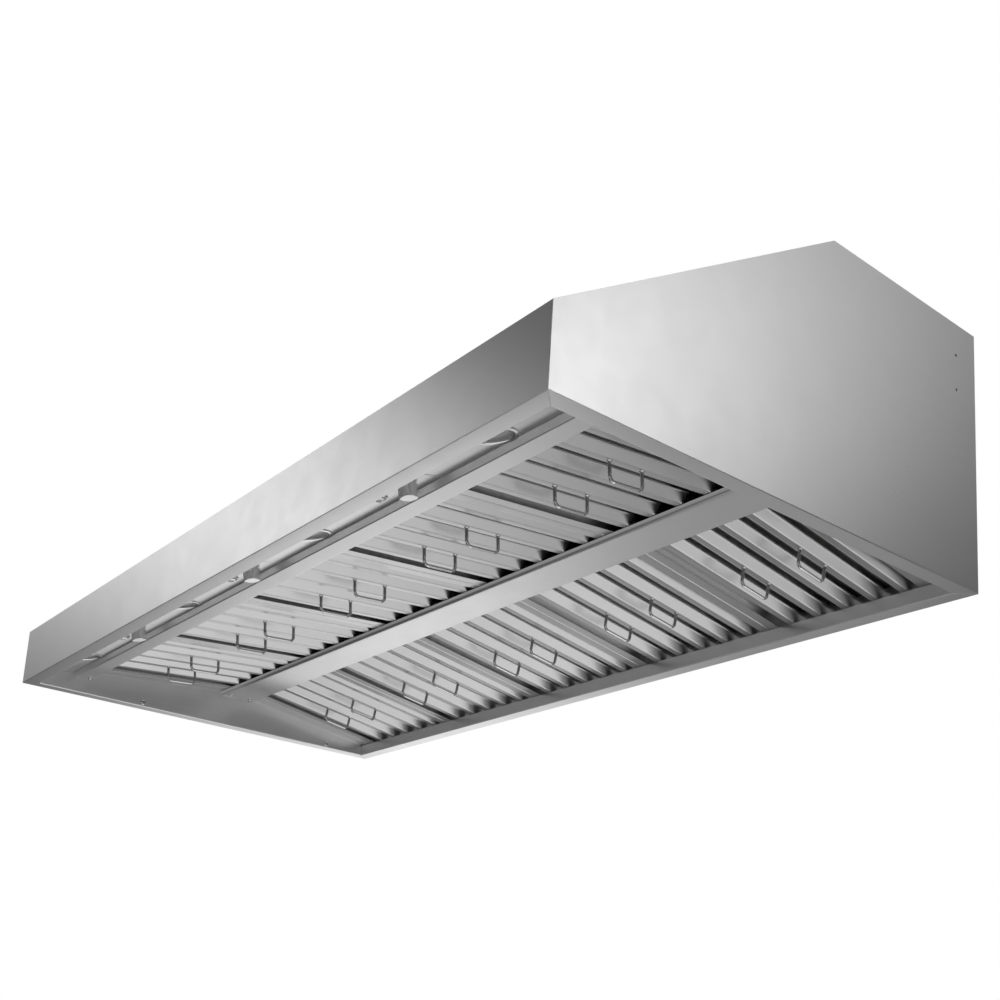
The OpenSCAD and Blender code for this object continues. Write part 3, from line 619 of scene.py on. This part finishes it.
@dataclass
class Canopy(Assembly):
    """The folded sheets of the canopy, with their folds rounded."""

    sheet: float = 0.0012
    outer_radius: float = 0.0019
    inner_radius: float = 0.0007
    cut_radius: float = 0.00022
    beam_radius: float = 0.0042
    plate_cut_radius: float = 0.00055
    shortest_fold: float = 0.009
    least_turn: float = math.radians(3)
    rim_width: float = 1.5
    segments: int = 3
    across: tuple[str, ...] = (
        "front_panel", "back_panel", "top_panel", "light_panel", "front_rail", "centre_beam", "rear_gutter",
    )
    backward: tuple[str, ...] = ("left_side_panel", "right_side_panel", "left_liner", "right_liner")

    def build(self) -> None:
        """Makes all the sheets."""
        for nodes, material in ((self.across, self.finishes.across), (self.backward, self.finishes.backward)):
            for node in nodes:
                self.folded_sheet(node, material)

    def edge_kind(self, edge: bmesh.types.BMEdge) -> FoldKind | None:
        """Tells what kind of edge this is.

        Args:
            edge: An edge of a merged sheet.

        Returns:
            Its kind, or None if it stays as it is.
        """
        short = not edge.is_manifold or edge.calc_length() < self.shortest_fold
        if short or edge.calc_face_angle(0) < self.least_turn:
            return None
        for face in edge.link_faces:
            if face.calc_area() < self.rim_width * self.sheet * face.calc_perimeter() / 2:
                return FoldKind.CUT
        return FoldKind.OUTER if edge.is_convex else FoldKind.INNER

    def folded_sheet(self, node: str, material: Material) -> None:
        """Copies a sheet-metal node and rounds its folds.

        Args:
            node: The CAD node.
            material: The sheet's material.
        """
        shape = merged_copy(node)
        outer = self.beam_radius if node == "centre_beam" else self.outer_radius
        cut = self.plate_cut_radius if node == "light_panel" else self.cut_radius
        radii = {FoldKind.OUTER: outer, FoldKind.INNER: self.inner_radius, FoldKind.CUT: cut}
        weight = shape.edges.layers.float.new("bevel_weight_edge")
        mark_creases(shape)
        for edge in shape.edges:
            kind = self.edge_kind(edge)
            if kind:
                edge[weight] = radii[kind] / outer
                edge.smooth = True
        piece = self.add(f"{node}_sheet", shape, Slot.CANOPY, material, node)
        bevel = piece.modifiers.new("rounded_folds", "BEVEL")
        bevel.limit_method = "WEIGHT"
        bevel.width = outer
        bevel.segments = self.segments
        bevel.use_clamp_overlap = False
        self.even_shading(piece)


@dataclass
class FilterRows(Assembly):
    """The ten baffle filters, each folded from sheet, and their wire handles."""

    width: float = 0.33708
    length: float = 0.362363
    thickness: float = 0.025
    sheet: float = 0.001
    side_flange: float = 0.020
    end_flange: float = 0.010
    blades: int = 5
    blade_in: float = 0.0493
    blade_flat: float = 0.0145
    blade_run: float = 0.009
    blade_rise: float = 0.0145
    blade_lip: float = 0.003
    upper_z: float = 0.008
    setback: float = 0.012
    bend_outside: float = 0.0016
    bend_inside: float = 0.0007
    weld_radius: float = 0.002
    weld_height: float = 0.00025
    weld_in: float = 0.006
    wire_radius: float = 0.0028
    handle_feet: float = 0.064
    handle_drop: float = 0.033
    handle_bend: float = 0.009
    handle_at: float = 0.178
    wire_facets: int = 14
    bend_steps: int = 6
    fillet: float = 0.0016
    fillet_profile: tuple[Point, ...] = ((1, 0), (0.4, -0.3), (0, -1))
    fillet_facets: int = 16
    weld_profile: tuple[Point, ...] = ((1, 0), (0.8, -1), (0.5, -0.4), (0, -0.4))
    weld_facets: int = 12
    edge_rounding: float = 0.000125
    fold_segments: int = 3

    @property
    def blade_pitch(self) -> float:
        """Distance between neighbouring baffles."""
        return (self.width - 2 * self.blade_in) / (self.blades - 1)

    def build(self) -> None:
        """Makes both rows."""
        for row in ROWS:
            for number in range(1, FILTERS_PER_ROW + 1):
                place = self.place(row, number)
                body = f"{row}_filter_{number}"
                blades = self.filter_shape()
                blades.transform(place)
                piece = self.add(f"{body}_blades", blades, Slot.FILTER, self.finishes.filter, body, body=body)
                wall = piece.modifiers.new("sheet", "SOLIDIFY")
                wall.thickness = self.sheet
                wall.offset = -1.0
                wall.use_even_offset = True
                self.round_edges(piece, self.edge_rounding, 1, math.radians(60))
                handles = self.handle_shape()
                handles.transform(place)
                name = f"{row}_handles_{number}"
                self.even_shading(self.add(f"{name}_wires", handles, Slot.WIRE, self.finishes.wire, name, body=body))

    def place(self, row: str, number: int) -> Matrix:
        """Gives the place of a filter, drawn with its low end's lower edge on X and its length along Y.

        Args:
            row: "front" or "rear".
            number: The filter's number from the left.

        Returns:
            The matrix.
        """
        low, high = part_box(f"{row}_filter_{number}")
        slope = joint_vector(f"{row}_filter_{number}_slide", "axis").normalized()
        side = Vector((math.copysign(1, slope.y), 0, 0))
        normal = side.cross(slope)
        setback = self.thickness * slope.z
        low_end = low.y + setback if slope.y > 0 else high.y - setback
        origin = Vector(((low.x + high.x) / 2, low_end, low.z))
        turn = Matrix((side, slope, normal)).transposed().to_4x4()
        return Matrix.Translation(origin) @ turn

    @staticmethod
    def mirrored(x: float, *half: Point) -> list[Point]:
        """Gives a path that is the same on both sides of X, from the half of it that runs outwards."""
        return [(x - out, height) for out, height in reversed(half)] + [(x + out, height) for out, height in half]

    def strip(
        self, shape: Shape, path: Sequence[Point], start: float, run: float, thick_side: int = 1, across: bool = False
    ) -> None:
        """Adds a strip of sheet with rounded folds, which the Solidify modifier later gives its thickness.

        Args:
            shape: The shape that it is added to.
            path: Its outline, as points in X and Z, or in Y and Z where it runs across.
            start: Where it starts along its run.
            run: The length of its run, along Y, or along X where it runs across.
            thick_side: 1 for a thickness to the left of the path, -1 for one to the right.
            across: True if it runs across the filter.
        """
        flat = Vector((0, 1, 0)) if across else Vector((1, 0, 0))
        along = Vector((1, 0, 0)) if across else Vector((0, 1, 0))
        up = Vector((0, 0, 1))
        points = [shape.verts.new(flat * a + along * start + up * b) for a, b in path]
        lines = [shape.edges.new(pair) for pair in zip(points, points[1:])]
        swept = bmesh.ops.extrude_edge_only(shape, edges=lines)["geom"]
        bmesh.ops.translate(shape, verts=vertices(swept), vec=along * run)
        faces = [item for item in swept if isinstance(item, bmesh.types.BMFace)]
        shape.normal_update()
        first = Vector(path[1]) - Vector(path[0])
        thick = (flat * -first.y + up * first.x) * thick_side
        if sum(face.normal.dot(thick) for face in faces if lines[0] in face.edges) > 0:
            bmesh.ops.reverse_faces(shape, faces=faces)
        folds: dict[float, list] = {self.bend_outside: [], self.bend_inside: []}
        for before, corner, after, point in zip(path, path[1:], path[2:], points[1:]):
            turn = (Vector(corner) - Vector(before)).cross(Vector(after) - Vector(corner))
            edge = next(e for e in point.link_edges if len(e.link_faces) == 2)
            folds[self.bend_outside if turn * thick_side > 0 else self.bend_inside].append(edge)
        for radius, edges in folds.items():
            if edges:
                bmesh.ops.bevel(
                    shape, geom=edges, offset=radius, offset_type="OFFSET", segments=self.fold_segments,
                    profile=0.5, affect="EDGES", clamp_overlap=True, material=-1,
                )

    def filter_shape(self) -> Shape:
        """Folds one filter's strips, lying flat with its underside at zero.

        Returns:
            The shape.
        """
        shape = bmesh.new()
        foot = self.blade_flat / 2
        top = foot + self.blade_run
        half_gap = (self.blade_pitch - self.blade_flat) / 2
        upper_top = self.thickness - self.sheet
        blade_length = self.length - self.setback
        inside = self.sheet / 2
        middle = (self.blades - 1) / 2
        for number in range(self.blades):
            x = (number - middle) * self.blade_pitch
            blade = self.mirrored(x, (foot, 0), (top, self.blade_rise), (top + self.blade_lip, self.blade_rise))
            self.strip(shape, blade, inside, blade_length - inside)
            self.strip(shape, self.mirrored(x, (foot, 0)), blade_length, self.setback - self.end_flange / 2)
        for number in range(self.blades - 1):
            x = (number + 0.5 - middle) * self.blade_pitch
            baffle = self.mirrored(x, (half_gap, upper_top), (half_gap, self.upper_z))
            self.strip(shape, baffle, inside, self.length - 2 * inside)
        outermost = middle * self.blade_pitch + foot
        edge = self.width / 2
        for side in (-1, 1):
            self.strip(shape, [
                (side * (edge - self.side_flange), 0), (side * edge, 0),
                (side * edge, self.thickness), (side * (edge - self.end_flange), self.thickness),
            ], 0, self.length, side)
            self.strip(shape, [
                (side * edge, upper_top), (side * outermost, upper_top), (side * outermost, self.upper_z),
            ], inside, self.length - 2 * inside, side)
        self.strip(shape, [
            (self.end_flange, 0), (0, 0), (0, self.thickness), (self.end_flange, self.thickness),
        ], -edge, self.width, -1, across=True)
        for height in (0, upper_top):
            flange = [(self.length - self.end_flange, height), (self.length, height)]
            self.strip(shape, flange, -edge, self.width, across=True)
        return shape

    def handle_shape(self) -> Shape:
        """Bends a filter's two wire handles, with their weld fillets, and adds its spot welds.

        Returns:
            The shape.
        """
        shape = bmesh.new()
        for x in (-self.blade_pitch, self.blade_pitch):
            add_shape(shape, self.wire_loop(), Matrix.Translation((x, self.handle_at, 0)))
            for side in (-1, 1):
                profile = scaled(self.fillet_profile, self.fillet, self.fillet)
                fillet = lathe([(self.wire_radius + out, z) for out, z in profile], self.fillet_facets)
                place = (x, self.handle_at + side * self.handle_feet / 2, 0)
                add_shape(shape, fillet, Matrix.Translation(place))
        middle = (self.blades - 1) / 2
        for number in range(self.blades):
            for y in (self.weld_in, self.length - self.setback - self.weld_in):
                weld = lathe(scaled(self.weld_profile, self.weld_radius, self.weld_height), self.weld_facets)
                add_shape(shape, weld, Matrix.Translation(((number - middle) * self.blade_pitch, y, 0)))
        mark_creases(shape)
        return shape

    def wire_loop(self) -> Shape:
        """Bends one wire handle, hanging down from the origin with its feet along Y.

        Returns:
            The shape.
        """
        shape = bmesh.new()
        half = self.handle_feet / 2
        leg = self.handle_drop - self.wire_radius - self.handle_bend
        ring = circle(shape, self.wire_radius, self.wire_facets, (0, -half, 0))
        ring = self.draw_out(shape, ring, Vector((0, 0, -leg)))
        ring = self.bend(shape, ring, Vector((0, self.handle_bend - half, -leg)))
        ring = self.draw_out(shape, ring, Vector((0, 2 * (half - self.handle_bend), 0)))
        ring = self.bend(shape, ring, Vector((0, half - self.handle_bend, -leg)))
        self.draw_out(shape, ring, Vector((0, 0, leg)))
        bmesh.ops.remove_doubles(shape, verts=shape.verts, dist=WELD)
        bmesh.ops.recalc_face_normals(shape, faces=shape.faces)
        return shape

    @staticmethod
    def draw_out(shape: Shape, ring: Sequence, move: Vector) -> list:
        """Draws a ring of wire out in a straight line.

        Args:
            shape: The shape that holds the ring.
            ring: The ring's vertices.
            move: The way that it goes.

        Returns:
            The vertices of the new ring.
        """
        moved = vertices(bmesh.ops.extrude_edge_only(shape, edges=ring_edges(ring))["geom"])
        bmesh.ops.translate(shape, verts=moved, vec=move)
        return moved

    def bend(self, shape: Shape, ring: Sequence, centre: Vector) -> list:
        """Bends the wire on from a ring by a quarter turn, from down to rearward or from rearward to up.

        Args:
            shape: The shape that holds the ring.
            ring: The ring's vertices.
            centre: The centre of the bend.

        Returns:
            The vertices of the last ring.
        """
        return vertices(bmesh.ops.spin(
            shape, geom=list(ring) + ring_edges(ring), cent=centre, axis=(1, 0, 0), angle=math.pi / 2,
            steps=self.bend_steps,
        )["geom_last"])


@dataclass
class LightPanel(Assembly):
    """Lamps, knobs and rockers on the sloping panel behind the front lip."""

    knob_radius: float = 0.0145
    knob_reach: float = 0.023
    knob_gap: float = 0.0025
    knob_dish: float = 0.0003
    knob_rim: float = 0.0014
    knob_chamfer: float = 0.0008
    shaft_radius: float = 0.003
    shaft_length: float = 0.020
    knob_offset: float = 0.033
    rocker_offset: float = -0.039
    ring_inner: float = 0.0090
    ring_outer: float = 0.0116
    ring_height: float = 0.0022
    bezel_radius: float = 0.033
    bezel_thickness: float = 0.0015
    bezel_step: float = 0.0009
    can_radius: float = 0.029
    can_wall: float = 0.0016
    can_height: float = 0.040
    lens_recess: float = 0.004
    lens_thickness: float = 0.002
    lens_gap: float = 0.0002
    lens_crown: float = 0.0012
    lens_edge: Point = (0.8, 0.36)
    lens_slope: Point = (0.5, 0.1)
    bezel_rim: float = 0.0006
    rim_share: float = 0.4
    mouth_share: float = 0.2
    mouth_slope: float = 0.0012
    facets: int = 64
    knob_rounding: float = 0.0003
    ring_rounding: float = 0.0006
    paddle_crease: float = math.radians(25)

    def build(self) -> None:
        """Makes the lamps and the controls."""
        self.lamps()
        for number in range(1, GROUPS + 1):
            self.knob(number)
            self.rocker(number)

    @staticmethod
    def place(x: float) -> Matrix:
        """Gives a place on the line of controls, with Z up from the panel's visible face into the canopy.

        Args:
            x: The place across the hood.

        Returns:
            The matrix.
        """
        anchor = joint_vector("knob_1_turn")
        tilt = Vector((0, 0, 1)).rotation_difference(joint_vector("knob_1_turn", "axis"))
        return Matrix.Translation((x, anchor.y, anchor.z)) @ tilt.to_matrix().to_4x4()

    def group_x(self, number: int) -> float:
        """Gives the middle of a control group across the hood."""
        return joint_vector(f"knob_{number}_turn").x - self.knob_offset

    def lamps(self) -> None:
        """Turns the lamp cans with their bezels, and the lenses."""
        pitch = self.group_x(2) - self.group_x(1)
        inner = self.can_radius - self.can_wall
        mouth = inner - self.bezel_step
        face = -self.bezel_thickness
        lens = inner - self.lens_gap
        cans, lenses = bmesh.new(), bmesh.new()
        for number in range(LAMPS):
            place = self.place((number - (LAMPS - 1) / 2) * pitch)
            can = lathe([
                (0, self.can_height), (self.can_radius, self.can_height), (self.can_radius, 0),
                (self.bezel_radius, 0), (self.bezel_radius, self.rim_share * face),
                (self.bezel_radius - self.bezel_rim, face),
                (mouth + self.mouth_slope, face), (mouth, self.mouth_share * face), (mouth, self.lens_recess),
                (inner, self.lens_recess), (inner, self.can_height - self.can_wall),
                (0, self.can_height - self.can_wall),
            ], self.facets)
            add_shape(cans, can, place)
            crown = self.lens_recess - self.lens_crown
            curve = [(r, crown + z) for r, z in scaled((self.lens_edge, self.lens_slope), lens, self.lens_crown)]
            back = self.lens_recess + self.lens_thickness
            glass = lathe([(0, back), (lens, back), (lens, self.lens_recess), *curve, (0, crown)], self.facets)
            add_shape(lenses, glass, place)
        mark_creases(cans)
        mark_creases(lenses)
        self.add("lamp_cans_turned", cans, Slot.BEZEL, self.finishes.bezel, "lamp_cans")
        self.add("lamp_lenses_crowned", lenses, Slot.GLASS, self.finishes.glass, "lamp_lenses")

    def knob(self, number: int) -> None:
        """Turns a knob with its dished end and its shaft.

        Args:
            number: The knob's number from the left.
        """
        radius, end = self.knob_radius, -self.knob_reach
        shape = lathe([
            (0, self.shaft_length), (self.shaft_radius, self.shaft_length), (self.shaft_radius, -self.knob_gap),
            (radius, -self.knob_gap), (radius, end + self.knob_chamfer), (radius - self.knob_chamfer, end),
            (radius - self.knob_rim, end), (radius - self.knob_rim - self.knob_dish, end + self.knob_dish),
            (0, end + self.knob_dish),
        ], self.facets)
        shape.transform(self.place(joint_vector(f"knob_{number}_turn").x))
        mark_creases(shape)
        name = f"knob_{number}"
        piece = self.add(f"{name}_turned", shape, Slot.KNOB, self.finishes.knob, name, body=name)
        self.round_edges(piece, self.knob_rounding)

    def rocker(self, number: int) -> None:
        """Makes a rocker from its CAD paddle, and the bright ring round it.

        Args:
            number: The rocker's number from the left.
        """
        name = f"rocker_{number}"
        paddle = merged_copy(name)
        mark_creases(paddle, self.paddle_crease)
        piece = self.add(f"{name}_paddle", paddle, Slot.KNOB, self.finishes.knob, name, body=name)
        self.round_edges(piece, self.ring_rounding, 3, self.paddle_crease)
        ring = lathe([
            (self.ring_inner, 0), (self.ring_inner, -self.ring_height), (self.ring_outer, -self.ring_height),
            (self.ring_outer, 0), (self.ring_inner, 0),
        ])
        ring.transform(self.place(self.group_x(number) + self.rocker_offset))
        mark_creases(ring)
        bezel = self.add(f"rocker_ring_{number}", ring, Slot.KNOB, self.finishes.knob)
        self.round_edges(bezel, self.ring_rounding, 3)


@dataclass
class Fixings(Assembly):
    """Pan-head screws with a cross recess."""

    flange_head_radius: float = 0.0066
    end_head_radius: float = 0.0053
    head_height: float = 0.0034
    shank_radius: float = 0.002
    shank_length: float = 0.006
    cross_length: float = 0.0025
    cross_width: float = 0.0007
    cross_depth: float = 0.0018
    head_profile: tuple[Point, ...] = ((1, 0), (1, -0.35), (0.85, -0.75), (0.55, -1))
    shank_chamfer: float = 0.0005
    facets: int = 24
    flange_x: float = 0.8855
    flange_screw_y: tuple[float, float] = (-0.1815, 0.3145)
    flange_screw_z: float = 0.0095
    end_screw_x: float = 0.8709
    beam_screw_y: tuple[float, float] = (0.0309, 0.0809)
    beam_screw_z: float = 0.0727
    rail_screw_y: float = -0.3178
    rail_screw_z: float = 0.0337

    def build(self) -> None:
        """Makes the ten screws in one piece."""
        shape = bmesh.new()
        for side in (-1, 1):
            inward = Matrix.Rotation(side * math.pi / 2, 4, "Y")
            for y in self.flange_screw_y:
                place = Matrix.Translation((side * self.flange_x, y, self.flange_screw_z))
                add_shape(shape, self.screw(self.flange_head_radius), place @ inward)
            ends = [(y, self.beam_screw_z) for y in self.beam_screw_y] + [(self.rail_screw_y, self.rail_screw_z)]
            for y, z in ends:
                place = Matrix.Translation((side * self.end_screw_x, y, z))
                add_shape(shape, self.screw(self.end_head_radius), place)
        mark_creases(shape)
        self.add("screws_pan_head", shape, Slot.FIXING, self.finishes.fixing, "screws")

    def screw(self, head: float) -> Shape:
        """Makes one screw with its head below the origin and its shank above.

        Args:
            head: The head's radius.

        Returns:
            The shape.
        """
        shape = lathe([
            (0, self.shank_length), (self.shank_radius, self.shank_length - self.shank_chamfer),
            (self.shank_radius, 0), *scaled(self.head_profile, head, self.head_height),
        ], self.facets)
        rim = [edge for edge in shape.edges if edge.is_boundary]
        length, width = self.cross_length, self.cross_width
        corners = [Vector(corner) for corner in ((length, -width), (length, width), (width, width))]
        arms = circle(shape, length, 4 * len(corners), (0, 0, -self.head_height))
        for number, vert in enumerate(arms):
            quarter, corner = divmod(number, len(corners))
            vert.co.xy = Matrix.Rotation(quarter * math.pi / 2, 2) @ corners[corner]
        cross = ring_edges(arms)
        bmesh.ops.triangle_fill(shape, use_beauty=True, edges=rim + cross)
        inner = [face for face in shape.faces if all(vert in arms for vert in face.verts)]
        bmesh.ops.delete(shape, geom=inner, context="FACES_ONLY")
        deep = vertices(bmesh.ops.extrude_edge_only(shape, edges=cross)["geom"])
        bmesh.ops.translate(shape, verts=deep, vec=(0, 0, self.cross_depth))
        bmesh.ops.contextual_create(shape, geom=ring_edges(deep))
        bmesh.ops.recalc_face_normals(shape, faces=shape.faces)
        return shape


@dataclass
class DuctWork(Assembly):
    """The collar rivets, and the collars, dampers, blowers and supply box that keep their CAD shape."""

    collar_sheet: float = 0.0012
    rivet_radius: float = 0.0035
    rivet_height: float = 0.0016
    rivet_profile: tuple[Point, ...] = ((1, 0), (0.85, 0.6), (0.45, 1), (0, 1))
    rivet_facets: int = 16
    rivet_in: float = 0.009
    rivets_per_side: int = 3

    def build(self) -> None:
        """Dresses the nodes and adds the rivets."""
        numbers = range(1, GROUPS + 1)
        self.dress(
            [f"{kind}_{n}" for n in numbers for kind in (
                "duct_collar", "front_flap", "rear_flap", "blower_housing", "blower_wheel",
            )] + ["junction_box", "junction_box_lid"],
            self.finishes.zinc,
        )
        self.dress(["blower_motors"], self.finishes.motor)
        self.dress(["speed_controls", "switch_bodies"], self.finishes.plastic)
        for number in numbers:
            self.rivets(number)

    def rivets(self, number: int) -> None:
        """Adds the rivets that hold a duct collar down.

        Args:
            number: The collar's number from the left.
        """
        shape = bmesh.new()
        low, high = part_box(f"duct_collar_{number}")
        last = self.rivets_per_side // 2
        pitch = ((high.x - low.x) / 2 - self.rivet_in) / last
        for across, back in product(range(-last, last + 1), repeat=2):
            if last in (abs(across), abs(back)):
                rivet = lathe(scaled(self.rivet_profile, self.rivet_radius, self.rivet_height), self.rivet_facets)
                x, y = (low.x + high.x) / 2 + across * pitch, (low.y + high.y) / 2 + back * pitch
                add_shape(shape, rivet, Matrix.Translation((x, y, low.z + self.collar_sheet)))
        mark_creases(shape)
        self.add(f"collar_rivets_{number}", shape, Slot.FIXING, self.finishes.fixing)


# Studio


@dataclass(frozen=True)
class Card:
    """A soft bright card in the studio, as reflections see it."""

    azimuth: float
    elevation: float
    level: float
    inner: float = 1.0
    outer: float = 10.0

    def direction(self) -> Vector:
        """Gives the direction of the card's middle."""
        azimuth, elevation = math.radians(self.azimuth), math.radians(self.elevation)
        return Vector((
            math.cos(elevation) * math.cos(azimuth), math.cos(elevation) * math.sin(azimuth), math.sin(elevation),
        ))


@dataclass
class Studio:
    """A plain pale floor, soft light and the photograph's camera."""

    floor_z: float = -1.75
    floor_radius: float = 14.0
    floor_tone: float = 0.86
    floor_roughness: float = 0.9
    floor_sides: int = 64
    floor_fade: Point = (3, 7)
    open_light: float = 0.85
    base: float = 0.06
    under: tuple[Card, ...] = (
        Card(152, -11, 0.6), Card(141, -12, 0.95), Card(157, -19, 0.3), Card(148, -19, 0.6),
        Card(129, -24, 0.4), Card(146, -28, 0.55), Card(150, 0, 0.25),
    )
    before: tuple[Card, ...] = (
        Card(-162, 14, 0.2), Card(-155, 23, 1.4), Card(-148, 22, 0.6),
    )
    beside: tuple[Card, ...] = (
        Card(36, 34, 1.25), Card(46, 29, 0.9), Card(34, 24, 1.5),
    )
    blades: tuple[Card, ...] = (
        Card(33, -38, 1.3, 5, 19), Card(46, -24, 0.35, 3, 14), Card(90, -62, 0.55, 15, 32),
    )
    fill: tuple[Card, ...] = (
        Card(-45, -10, 0.45, 10, 45), Card(85, -5, 0.3, 5, 30), Card(0, 90, 0.6, 15, 50),
        Card(-90, 12, 0.5, 10, 40), Card(0, 8, 0.5, 10, 34), Card(0, -90, 0.8, 15, 45),
        Card(100, 6, 0.45, 6, 24), Card(-135, -15, 0.4, 8, 22),
    )
    camera_place: Triple = (2.0107, -1.3226, -0.7796)
    camera_turn: Triple = (102.27, -3.15, 50.33)
    lens: float = 46.957
    sensor: float = 36.0
    shift: Point = (-0.0366, 0.2847)

    def build(self) -> None:
        """Makes the floor, the world and the camera."""
        self.floor()
        self.world()
        self.camera()
        bpy.context.scene.view_settings.view_transform = "Standard"

    def floor(self) -> None:
        """Lays the floor, which fades to plain white far away and isn't seen from below."""
        shape = bmesh.new()
        circle(shape, self.floor_radius, self.floor_sides, (0, 0, self.floor_z), filled=True)
        look = Look("floor_pale")
        tree, tone = look.tree, self.floor_tone
        feed(tree, look.shader, {"Base Color": (tone, tone, tone, 1), "Roughness": self.floor_roughness})
        distance = add_node(tree, "VectorMath", {0: look.place}, operation="LENGTH").outputs["Value"]
        fade = calculate(tree, "MULTIPLY", smooth_step(tree, distance, *self.floor_fade), self.seen(tree))
        white = add_node(tree, "Emission", {"Color": (1, 1, 1, 1), "Strength": 1})
        mixed = add_node(tree, "MixShader", {0: fade, 1: look.shader.outputs[0], 2: white.outputs[0]})
        clear = add_node(tree, "BsdfTransparent")
        side = add_node(tree, "NewGeometry")
        result = add_node(tree, "MixShader", {0: side.outputs["Backfacing"], 1: mixed.outputs[0], 2: clear.outputs[0]})
        tree.links.new(result.outputs[0], tree.nodes["Material Output"].inputs["Surface"])
        floor = new_piece("floor", shape, look.material)
        floor.visible_glossy = False

    @staticmethod
    def seen(tree: Nodes) -> Socket:
        """Tells the rays that come from the camera, also through glass, from those that light the object."""
        path = add_node(tree, "LightPath").outputs
        return calculate(tree, "ADD", path["Is Camera Ray"], path["Is Transmission Ray"], use_clamp=True)

    def world(self) -> None:
        """Lights the studio evenly, shows white behind the object, and gives metal soft cards to reflect."""
        world = bpy.data.worlds.new("studio")
        bpy.context.scene.world = world
        world.use_nodes = True
        world.cycles.sampling_method = "NONE"
        tree = world.node_tree
        way = add_node(tree, "TexCoord").outputs["Generated"]
        total = self.base
        for card in self.under + self.before + self.beside + self.blades + self.fill:
            facing = add_node(tree, "VectorMath", {0: way, 1: card.direction()}, operation="DOT_PRODUCT")
            rim, middle = (math.cos(math.radians(angle)) for angle in (card.outer, card.inner))
            glow = smooth_step(tree, facing.outputs["Value"], rim, middle, card.level)
            total = calculate(tree, "ADD", total, glow)
        path = add_node(tree, "LightPath").outputs
        lit = add_node(tree, "Mix", {0: path["Is Diffuse Ray"], 2: total, 3: self.open_light})
        level = add_node(tree, "Mix", {0: self.seen(tree), 2: lit.outputs[0], 3: 1})
        background = tree.nodes["Background"]
        feed(tree, background, {"Color": (1, 1, 1, 1), "Strength": level.outputs[0]})

    def camera(self) -> None:
        """Places the camera where the photograph was taken from."""
        data = bpy.data.cameras.new("camera")
        data.sensor_width = self.sensor
        data.lens = self.lens
        data.shift_x, data.shift_y = self.shift
        camera = bpy.data.objects.new("camera", data)
        camera.location = self.camera_place
        camera.rotation_euler = [math.radians(angle) for angle in self.camera_turn]
        bpy.context.scene.collection.objects.link(camera)
        bpy.context.scene.camera = camera


def main() -> None:
    """Builds the hood's looks and the studio."""
    finishes = Finishes()
    for assembly in (Canopy, FilterRows, LightPanel, Fixings, DuctWork):
        log.info("building %s", assembly.__name__)
        assembly(finishes).build()
    Studio().build()


if __name__ == "__main__":
    main()
